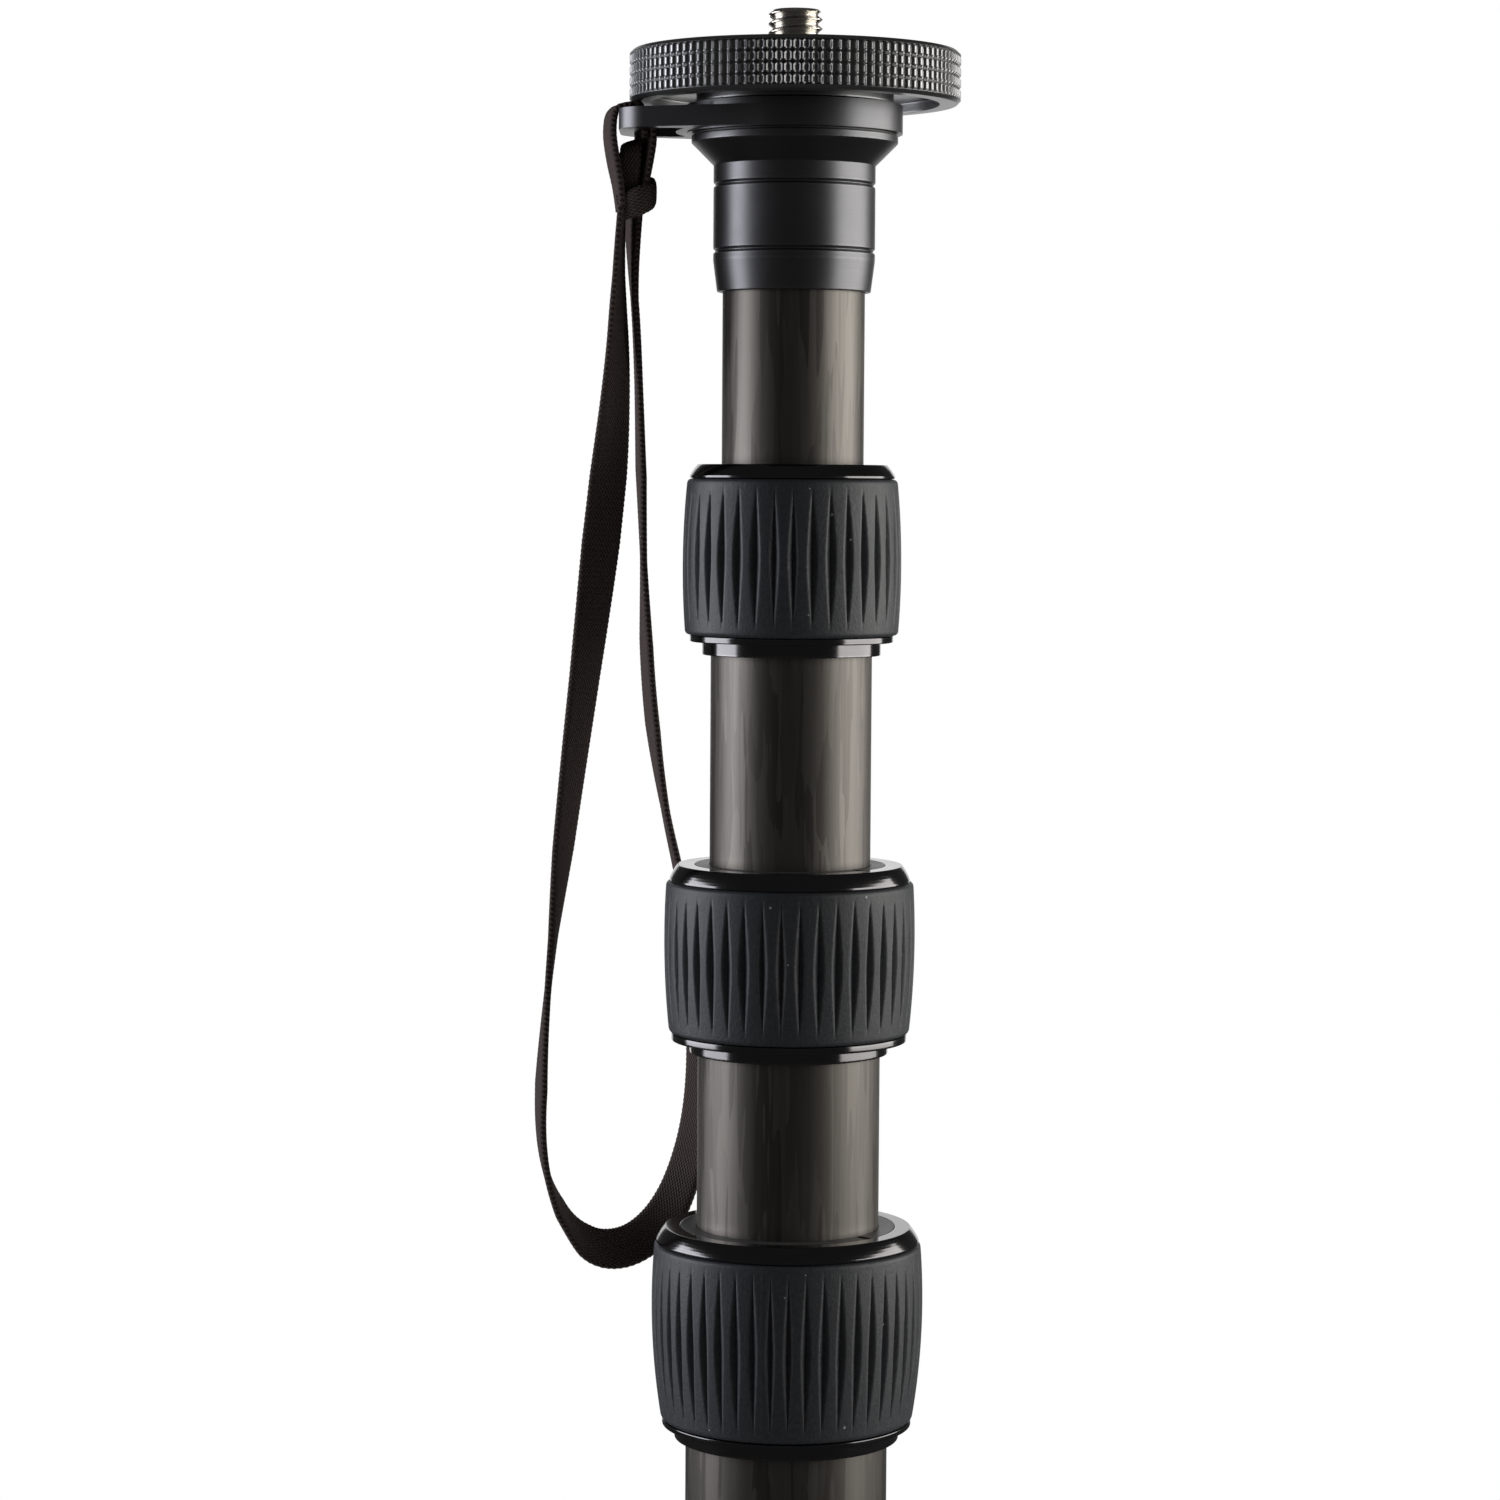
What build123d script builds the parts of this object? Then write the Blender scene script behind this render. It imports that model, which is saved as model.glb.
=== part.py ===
from build123d import *
import math
import os
from dataclasses import dataclass
from itertools import accumulate

# Telescopic carbon monopod with three twist locks, in millimetres. The origin is the centre of the
# foot's underside, +Z points up along the tubes, and the strap ring's lug points towards -X.

# Fits shared by all pieces
GLUE_LINE = 0.05
RUNNING_FIT = 0.05
SEAT_GAP = 0.06
OVERRUN = 2.0

# Tubes, the thinnest first
TUBE_1_RADIUS = 12.5
TUBE_STEPS = (1.75, 1.95, 1.8)
TUBE_RADII = tuple(accumulate((TUBE_1_RADIUS, *TUBE_STEPS)))
TUBE_WALL = 1.25
TUBE_LENGTH = 400.0

# Anti-rotation keys between each tube and the guides of the tube inside it
KEY_WIDTH = 2.6
KEY_DEPTH = 0.4
KEY_GAP = 0.08

# Guides at the lower end of each sliding tube
GUIDE_LENGTH = 32.0
GUIDE_FIT = 0.05
GUIDE_SPLIT = 0.6

# Foot
FOOT_WAIST_LIP = 0.6
FOOT_FLARE = 3.4
FOOT_HEIGHT = 22.0
FOOT_SOLE_HEIGHT = 6.0
FOOT_SOLE_CHAMFER = 1.2
FOOT_TREAD_RADIUS = 13.0
FOOT_TREAD_WIDTH = 2.0
FOOT_TREAD_DEPTH = 0.9
PLUG_FLANGE_HEIGHT = 4.0
PLUG_SPIGOT_HEIGHT = 20.0
PLUG_BORE_DEPTH = 16.0
BOLT_RADIUS = 4.0
BOLT_HEAD_LIP = 5.0
BOLT_HEAD_HEIGHT = 3.0
BOLT_HEAD_COVER = 5.0
BOLT_TIP_GAP = 2.0

# Lengths of tube that show, from section 4 up
SECTION_4_HIDDEN = 26.0
SECTION_4_SHOWN = TUBE_LENGTH - SECTION_4_HIDDEN
SECTION_3_SHOWN = 31.15
SECTION_2_SHOWN = 37.15
SECTION_1_SHOWN = 30.15

# What all twist locks have in common
CONE_ANGLE = 12.0
CONE_FOOT_WALL = 0.6
MOUTH_WALL = 0.9
LIP_HEIGHT = 1.6
SHOULDER_HEIGHT = 4.0
SHOULDER_GAP = 0.5
STOP_HEIGHT = 1.2
STOP_CLEARANCE = 0.15
RIM_CHAMFER_HEIGHT = 1.9
COLLET_SLIT = 1.1
COLLET_SLIT_ANGLE = -42.0
COLLET_KERF = 0.8
COLLET_KERFS = 3
COLLET_HINGE_DEPTH = 0.5

# What differs between the locks, the uppermost first
STACK_HEIGHTS = (33.5, 33.45, 38.0)
FERRULES_SHOWN = (2.3, 2.2, 2.4)
GRIP_DROPS = (2.45, 2.9, 2.8)
NUT_FOOT_HEIGHTS = (1.15, 1.3, 1.0)
COLLET_WALLS = (2.7, 2.65, 2.9)
FERRULE_WALLS = (1.55, 1.4, 2.0)
NUT_WALLS = (1.6, 2.4, 1.3)
RIM_OVERHANGS = (0.7, 1.3, 2.1)
RIM_CHAMFER_WIDTHS = (1.4, 1.4, 1.6)
NUT_FOOT_OVERHANGS = (0.6, 0.9, 0.9)
GRIP_TOP_WALLS = (1.1, 1.9, 2.4)
GRIP_MIDDLE_WALLS = (1.87, 2.18, 2.76)
GRIP_FOOT_WALLS = (1.4, 1.3, 1.1)
GROOVE_COUNTS = (36, 42, 48)


@dataclass(frozen=True)
class LockSize:
    """Sizes of one twist lock, all measured from the nut's top face down or from the axis out."""

    stack_height: float
    nut_height: float
    top_flat_radius: float
    rim_radius: float
    core_radius: float
    foot_radius: float
    seam_radius: float
    grip_drop: float
    grip_height: float
    grip_radii: tuple
    groove_count: int
    ferrule_radius: float


def lock_size(index):
    """Sizes of one lock, built outwards from its two tubes: ferrule, nut, rim and grip."""
    ferrule = TUBE_RADII[index + 1] + FERRULE_WALLS[index]
    core = ferrule + NUT_WALLS[index]
    rim = core + RIM_OVERHANGS[index]
    nut_height = STACK_HEIGHTS[index] - FERRULES_SHOWN[index]
    grip_walls = (GRIP_TOP_WALLS[index], GRIP_MIDDLE_WALLS[index], GRIP_FOOT_WALLS[index])
    return LockSize(
        stack_height=STACK_HEIGHTS[index],
        nut_height=nut_height,
        top_flat_radius=rim - RIM_CHAMFER_WIDTHS[index],
        rim_radius=rim,
        core_radius=core,
        foot_radius=core + NUT_FOOT_OVERHANGS[index],
        seam_radius=TUBE_RADII[index] + COLLET_WALLS[index],
        grip_drop=GRIP_DROPS[index],
        grip_height=nut_height - GRIP_DROPS[index] - NUT_FOOT_HEIGHTS[index],
        grip_radii=tuple(core + wall for wall in grip_walls),
        groove_count=GROOVE_COUNTS[index],
        ferrule_radius=ferrule,
    )


LOCKS = tuple(lock_size(index) for index in range(len(TUBE_STEPS)))

# Grooves in the rubber grips, deepest half way up and pointed at both ends
GROOVE_END_MARGIN = 1.6
GROOVE_WIDTH_SHARE = 0.56
GROOVE_DEPTH = 0.85

# Neck
NECK_LENGTH = 27.25
NECK_FOOT_WALL = 1.0
NECK_FOOT_CHAMFER = 0.4
NECK_TAPER = 0.7
NECK_TAPER_LENGTH = 5.1
NECK_FLARE = 3.9
NECK_RIM_HEIGHT = 1.3
NECK_UPPER_GROOVE_DROP = 8.65
NECK_LOWER_GROOVE_RISE = 1.6
NECK_GROOVE_WIDTH = 0.9
NECK_GROOVE_DEPTH = 0.45
NECK_CAP_HEIGHT = 9.25
SPIGOT_STEP = 0.6
NECK_FOOT_RADIUS = TUBE_1_RADIUS + NECK_FOOT_WALL
NECK_RADIUS = NECK_FOOT_RADIUS + NECK_TAPER
NECK_RIM_RADIUS = NECK_RADIUS + NECK_FLARE
SPIGOT_RADIUS = NECK_RADIUS - SPIGOT_STEP

# Strap of woven webbing, doubled where it goes round the lug
WEBBING_WIDTH = 7.6
WEBBING_THICKNESS = 1.1
STRAND_GAP = 0.3
STRAND_FOLD_RADIUS = 0.9
STRAND_BULGE = 1.6
STRAND_TAIL = 1.5
STRANDS_HALF_WIDTH = WEBBING_WIDTH + STRAND_GAP / 2

# Strap ring and its lug
WASHER_HEIGHT = 0.3
WASHER_INSET = 0.5
RING_OVERHANG = 0.8
RING_HEIGHT = 4.9
RING_GAP = 0.3
LUG_HEIGHT = 3.55
LUG_BAR = 3.2
LUG_CORNER = 6.5
SLOT_INSET = 2.0
SLOT_DEPTH = 6.6
SLOT_PLAY = 1.25
SLOT_END_WALL = 2.5
SLOT_CORNER = 1.0
RING_RADIUS = NECK_RIM_RADIUS + RING_OVERHANG
WASHER_RADIUS = NECK_RIM_RADIUS - WASHER_INSET
LUG_DROP = WEBBING_THICKNESS + GLUE_LINE
SLOT_INNER_RADIUS = RING_RADIUS + SLOT_INSET
SLOT_OUTER_RADIUS = SLOT_INNER_RADIUS + SLOT_DEPTH
SLOT_HALF_WIDTH = STRANDS_HALF_WIDTH + SLOT_PLAY
LUG_REACH = SLOT_OUTER_RADIUS + LUG_BAR
LUG_HALF_WIDTH = SLOT_HALF_WIDTH + SLOT_END_WALL

# Hitch under the lug
HITCH_HEIGHT = 6.6
HITCH_DROP = 6.5
HITCH_OVERHANG = 1.2
HITCH_INSET = 2.5
HITCH_CHAMFER = 1.2
HITCH_HALF_WIDTH = WEBBING_WIDTH + STRAND_GAP
HITCH_LEFT = LUG_REACH + HITCH_OVERHANG
HITCH_RIGHT = SLOT_OUTER_RADIUS - HITCH_INSET
HITCH_MIDDLE = (HITCH_LEFT + HITCH_RIGHT) / 2

# Camera plate
PLATE_RADIUS = 29.0
PLATE_HEIGHT = 9.1
PLATE_CHAMFER = 0.65
PLATE_LAND = 3.05
KNURL_TEETH = 116
KNURL_DEPTH = 0.45
KNURL_BLANK_GAP = 0.1
RECESS_DEPTH = 1.8
BOSS_INSET = 1.6
RECESS_OUTER_RADIUS = PLATE_RADIUS - PLATE_CHAMFER - PLATE_LAND
BOSS_RADIUS = RING_RADIUS - BOSS_INSET

# Stud: 3/8 inch above its flange, 1/4 inch below
STUD_RADIUS = 4.7625
STUD_HEIGHT = 7.2
STUD_CHAMFER = 0.6
STUD_SLOT_WIDTH = 1.4
STUD_SLOT_DEPTH = 1.6
STUD_FLANGE_LIP = 3.0
STUD_FLANGE_HEIGHT = 2.6
STUD_SHANK_RADIUS = 3.175
STUD_SHANK_LENGTH = 11.0

# Heights that follow from the stack
TUBE_4_FOOT = FOOT_HEIGHT + PLUG_FLANGE_HEIGHT
STACK_3_FOOT = TUBE_4_FOOT + SECTION_4_SHOWN
LOCK_3_TOP = STACK_3_FOOT + LOCKS[2].stack_height
STACK_2_FOOT = LOCK_3_TOP + SECTION_3_SHOWN
LOCK_2_TOP = STACK_2_FOOT + LOCKS[1].stack_height
STACK_1_FOOT = LOCK_2_TOP + SECTION_2_SHOWN
LOCK_1_TOP = STACK_1_FOOT + LOCKS[0].stack_height
NECK_FOOT = LOCK_1_TOP + SECTION_1_SHOWN
NECK_RIM_TOP = NECK_FOOT + NECK_LENGTH
RING_FOOT = NECK_RIM_TOP + WASHER_HEIGHT + RUNNING_FIT
RING_TOP = RING_FOOT + RING_HEIGHT
PLATE_FOOT = RING_TOP + RING_GAP
PLATE_TOP = PLATE_FOOT + PLATE_HEIGHT
LOCK_TOPS = (LOCK_1_TOP, LOCK_2_TOP, LOCK_3_TOP)
STACK_FEET = (STACK_1_FOOT, STACK_2_FOOT, STACK_3_FOOT)
LUG_FOOT = RING_FOOT + RING_HEIGHT - LUG_DROP - LUG_HEIGHT
LUG_TOP = LUG_FOOT + LUG_HEIGHT
HITCH_TOP = LUG_FOOT - HITCH_DROP
HITCH_FOOT = HITCH_TOP - HITCH_HEIGHT

# The loop's centreline from the middle of the hitch's foot: down the near strand, round and up the far one
LOOP_POINTS = (
    (-1.75, -1.6, 0.0),
    (-1.75, -1.6, -10.1),
    (-3.05, -2.1, -32.1),
    (-5.85, -2.4, -66.1),
    (-11.15, -1.6, -110.1),
    (-15.35, 0.8, -146.1),
    (-15.15, 4.0, -171.1),
    (-8.95, 11.2, -185.7),
    (-0.15, 17.8, -187.7),
    (8.05, 23.4, -180.5),
    (13.05, 27.2, -162.1),
    (11.85, 27.6, -134.1),
    (4.25, 23.4, -96.1),
    (1.45, 14.0, -56.1),
    (0.25, 6.0, -24.1),
    (0.25, 3.2, -10.1),
    (0.25, 3.2, 0.0),
)
LOOP_ACROSS = (0.7, -0.7, 0.0)
LOOP_ARC_SHARE = 0.45


def tube_bore(index):
    """Inner radius of a tube, counted from the top."""
    return TUBE_RADII[index] - TUBE_WALL


def turned(*outline):
    """Solid of revolution about Z of a closed outline of radius and height pairs."""
    path = Polyline(*[(radius, 0, height) for radius, height in outline], close=True)
    return revolve(make_face(path), Axis.Z)


def ring(outer, inner, foot, top):
    """Plain ring about Z."""
    return turned((inner, foot), (outer, foot), (outer, top), (inner, top))


def upright_box(width, depth, height, x, y, foot):
    """Box centred on x and y, standing on the height foot."""
    return Pos(x, y, foot) * Box(width, depth, height, align=(Align.CENTER, Align.CENTER, Align.MIN))


def tube_span(index):
    """Lower and upper end of a tube: the lowest starts on its plug, the first ends in the neck."""
    if index == 0:
        top = NECK_RIM_TOP - NECK_CAP_HEIGHT - GLUE_LINE
    else:
        top = ferrule_stop(index - 1)
    foot = TUBE_4_FOOT if index == len(LOCKS) else top - TUBE_LENGTH
    return foot, top


def mouth_height(index):
    """Height of a ferrule's upper end, just under the collet's shoulder."""
    lock = LOCK_TOPS[index]
    return lock - LIP_HEIGHT - RUNNING_FIT - SHOULDER_HEIGHT - SHOULDER_GAP


def cone_radii(index):
    """Mouth and foot radius of a ferrule's cone seat."""
    return LOCKS[index].ferrule_radius - MOUTH_WALL, TUBE_RADII[index] + CONE_FOOT_WALL


def cone_foot(index):
    """Height at which a ferrule's cone seat ends."""
    mouth, foot = cone_radii(index)
    return mouth_height(index) - (mouth - foot) / math.tan(math.radians(CONE_ANGLE))


def ferrule_stop(index):
    """Height of the upper end of the tube that is glued into a ferrule, under its stop lip."""
    return cone_foot(index) - STOP_HEIGHT - GLUE_LINE


def key_bars(width, outer, foot, height):
    """One bar through the axis along Y, out to the radius outer on both sides."""
    return upright_box(width, 2 * outer, height, 0, 0, foot)


def make_tube(index):
    """One carbon tube. All but the thinnest have two key grooves along the bore."""
    foot, top = tube_span(index)
    tube = ring(TUBE_RADII[index], tube_bore(index), foot, top)
    if index > 0:
        reach = tube_bore(index) + KEY_DEPTH
        tube -= key_bars(KEY_WIDTH, reach, foot - OVERRUN, top - foot + 2 * OVERRUN)
    return tube


def make_guides(index):
    """Two half shells round the lower end of a sliding tube, each with a rib in the key groove."""
    foot = tube_span(index)[0]
    outer = tube_bore(index + 1) - GUIDE_FIT
    inner = TUBE_RADII[index] + GLUE_LINE
    shell = ring(outer, inner, foot, foot + GUIDE_LENGTH)
    ribs = key_bars(KEY_WIDTH - 2 * KEY_GAP, outer + KEY_DEPTH - KEY_GAP, foot, GUIDE_LENGTH)
    shell += ribs - Pos(0, 0, foot) * Cylinder(
        (inner + outer) / 2, GUIDE_LENGTH, align=(Align.CENTER, Align.CENTER, Align.MIN)
    )
    half = upright_box(4 * outer, 2 * outer, GUIDE_LENGTH + 2 * OVERRUN, 0, 0, foot - OVERRUN)
    front = shell & (Pos(0, -outer - GUIDE_SPLIT / 2, 0) * half)
    back = shell & (Pos(0, outer + GUIDE_SPLIT / 2, 0) * half)
    return front, back


def make_ferrule(index):
    """Ferrule glued on the lower tube, with the stop lip and the cone seat inside its mouth."""
    outer = LOCKS[index].ferrule_radius
    foot, top = STACK_FEET[index], mouth_height(index)
    bore = TUBE_RADII[index + 1] + GLUE_LINE
    mouth, seat = cone_radii(index)
    stop = ferrule_stop(index) + GLUE_LINE
    return turned(
        (bore, foot),
        (outer, foot),
        (outer, top),
        (mouth, top),
        (seat, cone_foot(index)),
        (TUBE_RADII[index] + STOP_CLEARANCE, cone_foot(index)),
        (TUBE_RADII[index] + STOP_CLEARANCE, stop),
        (bore, stop),
    )


def make_collet(index):
    """Split collet: neck inside the nut's lip, captive shoulder and slotted cone."""
    size = LOCKS[index]
    bore = TUBE_RADII[index] + RUNNING_FIT
    lock_top = LOCK_TOPS[index]
    shoulder_top = lock_top - LIP_HEIGHT - RUNNING_FIT
    shoulder_foot = shoulder_top - SHOULDER_HEIGHT
    mouth, seat = cone_radii(index)
    tip = cone_foot(index) + SHOULDER_GAP
    slope = math.tan(math.radians(CONE_ANGLE))
    tip_radius = seat + SHOULDER_GAP * slope - SEAT_GAP
    cone_top_radius = tip_radius + (shoulder_foot - tip) * slope
    collet = turned(
        (bore, tip),
        (tip_radius, tip),
        (cone_top_radius, shoulder_foot),
        (size.ferrule_radius, shoulder_foot),
        (size.ferrule_radius, shoulder_top),
        (size.seam_radius - RUNNING_FIT, shoulder_top),
        (size.seam_radius - RUNNING_FIT, lock_top),
        (bore, lock_top),
    )
    reach = size.ferrule_radius + OVERRUN
    height = lock_top - tip + 2 * OVERRUN
    slit = upright_box(reach, COLLET_SLIT, height, reach / 2, 0, tip - OVERRUN)
    hinge_inner = size.seam_radius - COLLET_HINGE_DEPTH
    hinge = upright_box(OVERRUN, COLLET_KERF / 2, height, -hinge_inner - OVERRUN / 2, 0, tip - OVERRUN)
    kerf_height = shoulder_foot - tip + OVERRUN
    kerf = upright_box(2 * reach, COLLET_KERF, kerf_height, 0, 0, tip - OVERRUN)
    collet -= Rot(0, 0, COLLET_SLIT_ANGLE) * slit
    collet -= Rot(0, 0, COLLET_SLIT_ANGLE) * hinge
    for turn in range(COLLET_KERFS):
        collet -= Rot(0, 0, COLLET_SLIT_ANGLE + 90 + (turn - 1) * 180 / (COLLET_KERFS + 1)) * kerf
    return collet


def make_nut(index):
    """Turned nut with a chamfered top ring, the lip over the collet and a lower ring."""
    size = LOCKS[index]
    top = LOCK_TOPS[index]
    foot = top - size.nut_height
    bore = size.ferrule_radius + RUNNING_FIT
    rim_foot = top - size.grip_drop
    core_foot = top - size.grip_drop - size.grip_height
    return turned(
        (bore, foot),
        (size.foot_radius, foot),
        (size.foot_radius, core_foot),
        (size.core_radius, core_foot),
        (size.core_radius, rim_foot),
        (size.rim_radius, rim_foot),
        (size.rim_radius, top - RIM_CHAMFER_HEIGHT),
        (size.top_flat_radius, top),
        (size.seam_radius, top),
        (size.seam_radius, top - LIP_HEIGHT),
        (bore, top - LIP_HEIGHT),
    )


def make_grip(index):
    """Rubber sleeve with a barrel outline and a ring of pointed grooves, one in each of its flats."""
    size = LOCKS[index]
    top = LOCK_TOPS[index] - size.grip_drop - GLUE_LINE
    foot = LOCK_TOPS[index] - size.grip_drop - size.grip_height + GLUE_LINE
    middle = (top + foot) / 2
    top_radius, middle_radius, foot_radius = size.grip_radii
    step = math.tau / size.groove_count
    outlines = []
    for radius, height in ((top_radius, top), (middle_radius, middle), (foot_radius, foot)):
        corners = [
            (radius * math.cos((turn + 0.5) * step), radius * math.sin((turn + 0.5) * step), height)
            for turn in range(size.groove_count)
        ]
        outlines.append(make_face(Polyline(*corners, close=True)))
    sleeve = loft(outlines, ruled=True)
    sleeve -= Pos(0, 0, foot - OVERRUN) * Cylinder(
        size.core_radius + GLUE_LINE,
        top - foot + 2 * OVERRUN,
        align=(Align.CENTER, Align.CENTER, Align.MIN),
    )
    half_width = middle_radius * step * GROOVE_WIDTH_SHARE / 2
    flat = math.cos(step / 2)
    bottom, outside = middle_radius * flat - GROOVE_DEPTH, middle_radius * flat + GROOVE_DEPTH
    section = Polyline(
        (bottom, 0, middle), (outside, 2 * half_width, middle), (outside, -2 * half_width, middle), close=True
    )
    margin_share = GROOVE_END_MARGIN / (middle - foot)
    upper = Vertex(
        (top_radius + (middle_radius - top_radius) * margin_share) * flat, 0, top - GROOVE_END_MARGIN
    )
    lower = Vertex(
        (foot_radius + (middle_radius - foot_radius) * margin_share) * flat, 0, foot + GROOVE_END_MARGIN
    )
    groove = loft([upper, make_face(section), lower], ruled=True)
    return sleeve - [Rot(0, 0, math.degrees(turn * step)) * groove for turn in range(size.groove_count)]


def make_neck():
    """Neck casting: tapered foot, two V grooves, flared rim and the spigot that carries the ring."""
    half = NECK_GROOVE_WIDTH / 2
    taper_top = NECK_FOOT + NECK_FOOT_CHAMFER + NECK_TAPER_LENGTH
    bore_top = NECK_RIM_TOP - NECK_CAP_HEIGHT
    outline = [
        (TUBE_RADII[0] + GLUE_LINE, NECK_FOOT),
        (NECK_FOOT_RADIUS - NECK_FOOT_CHAMFER, NECK_FOOT),
        (NECK_FOOT_RADIUS, NECK_FOOT + NECK_FOOT_CHAMFER),
        (NECK_RADIUS, taper_top),
    ]
    for height in (taper_top + NECK_LOWER_GROOVE_RISE, NECK_RIM_TOP - NECK_UPPER_GROOVE_DROP):
        outline += [
            (NECK_RADIUS, height - half),
            (NECK_RADIUS - NECK_GROOVE_DEPTH, height),
            (NECK_RADIUS, height + half),
        ]
    rim_foot = NECK_RIM_TOP - NECK_RIM_HEIGHT
    hole_foot = PLATE_FOOT - STUD_SHANK_LENGTH - GLUE_LINE
    outline += [
        (NECK_RADIUS, rim_foot - NECK_FLARE),
        (NECK_RIM_RADIUS, rim_foot),
        (NECK_RIM_RADIUS, NECK_RIM_TOP),
        (SPIGOT_RADIUS, NECK_RIM_TOP),
        (SPIGOT_RADIUS, PLATE_FOOT),
        (STUD_SHANK_RADIUS + GLUE_LINE, PLATE_FOOT),
        (STUD_SHANK_RADIUS + GLUE_LINE, hole_foot),
        (0, hole_foot),
        (0, bore_top),
        (TUBE_RADII[0] + GLUE_LINE, bore_top),
    ]
    return turned(*outline)


def make_ring():
    """Strap ring with a rounded lug, thinner than the ring, that has an arc slot."""
    bore = SPIGOT_RADIUS + RUNNING_FIT
    corner_x = LUG_REACH - LUG_CORNER
    corner_y = LUG_HALF_WIDTH - LUG_CORNER
    corners = [Pos(-corner_x, side * corner_y) * Circle(LUG_CORNER) for side in (-1, 1)]
    plan = make_hull((Sketch() + Circle(RING_RADIUS) + corners).edges()) - Circle((bore + RING_RADIUS) / 2)
    slot = Circle(SLOT_OUTER_RADIUS) - Circle(SLOT_INNER_RADIUS)
    slot &= Pos(-SLOT_OUTER_RADIUS, 0) * Rectangle(2 * SLOT_OUTER_RADIUS, 2 * SLOT_HALF_WIDTH)
    plan -= fillet(slot.vertices(), SLOT_CORNER)
    return ring(RING_RADIUS, bore, RING_FOOT, RING_TOP) + Pos(0, 0, LUG_FOOT) * extrude(plan, LUG_HEIGHT)


def make_plate():
    """Camera plate: chamfered disc with a toothed rim, and a shallow recess round a boss underneath."""
    root = PLATE_RADIUS - KNURL_DEPTH
    blank_radius = root - KNURL_BLANK_GAP
    face_radius = PLATE_RADIUS - PLATE_CHAMFER
    bore = STUD_SHANK_RADIUS + GLUE_LINE
    flange = STUD_RADIUS + STUD_FLANGE_LIP + GLUE_LINE
    flange_foot = PLATE_TOP - STUD_FLANGE_HEIGHT - GLUE_LINE
    step = math.tau / KNURL_TEETH
    rim = []
    for tooth in range(KNURL_TEETH):
        crest, valley = tooth * step, (tooth + 0.5) * step
        rim.append((PLATE_RADIUS * math.cos(crest), PLATE_RADIUS * math.sin(crest)))
        rim.append((root * math.cos(valley), root * math.sin(valley)))
    toothed = extrude(make_face(Polyline(*rim, close=True)), PLATE_HEIGHT - 2 * PLATE_CHAMFER)
    toothed -= Cylinder(BOSS_RADIUS, 2 * PLATE_HEIGHT)
    blank = turned(
        (bore, PLATE_FOOT),
        (BOSS_RADIUS, PLATE_FOOT),
        (BOSS_RADIUS, PLATE_FOOT + RECESS_DEPTH),
        (RECESS_OUTER_RADIUS, PLATE_FOOT + RECESS_DEPTH),
        (RECESS_OUTER_RADIUS, PLATE_FOOT),
        (face_radius, PLATE_FOOT),
        (blank_radius, PLATE_FOOT + PLATE_CHAMFER),
        (blank_radius, PLATE_TOP - PLATE_CHAMFER),
        (face_radius, PLATE_TOP),
        (flange, PLATE_TOP),
        (flange, flange_foot),
        (bore, flange_foot),
    )
    hollow = ring(RECESS_OUTER_RADIUS, BOSS_RADIUS, PLATE_FOOT - OVERRUN, PLATE_FOOT + RECESS_DEPTH)
    return blank + (Pos(0, 0, PLATE_FOOT + PLATE_CHAMFER) * toothed - hollow)


def make_stud():
    """Reversible stud with a flange sunk in the plate and a screwdriver slot in its upper end."""
    top = PLATE_TOP + STUD_HEIGHT
    flange = STUD_RADIUS + STUD_FLANGE_LIP
    flange_foot = PLATE_TOP - STUD_FLANGE_HEIGHT
    stud = turned(
        (0, PLATE_FOOT - STUD_SHANK_LENGTH),
        (STUD_SHANK_RADIUS, PLATE_FOOT - STUD_SHANK_LENGTH),
        (STUD_SHANK_RADIUS, flange_foot),
        (flange, flange_foot),
        (flange, PLATE_TOP),
        (STUD_RADIUS, PLATE_TOP),
        (STUD_RADIUS, top - STUD_CHAMFER),
        (STUD_RADIUS - STUD_CHAMFER, top),
        (0, top),
    )
    slot = upright_box(3 * STUD_RADIUS, STUD_SLOT_WIDTH, 2 * STUD_SLOT_DEPTH, 0, 0, top - STUD_SLOT_DEPTH)
    return stud - slot


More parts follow.
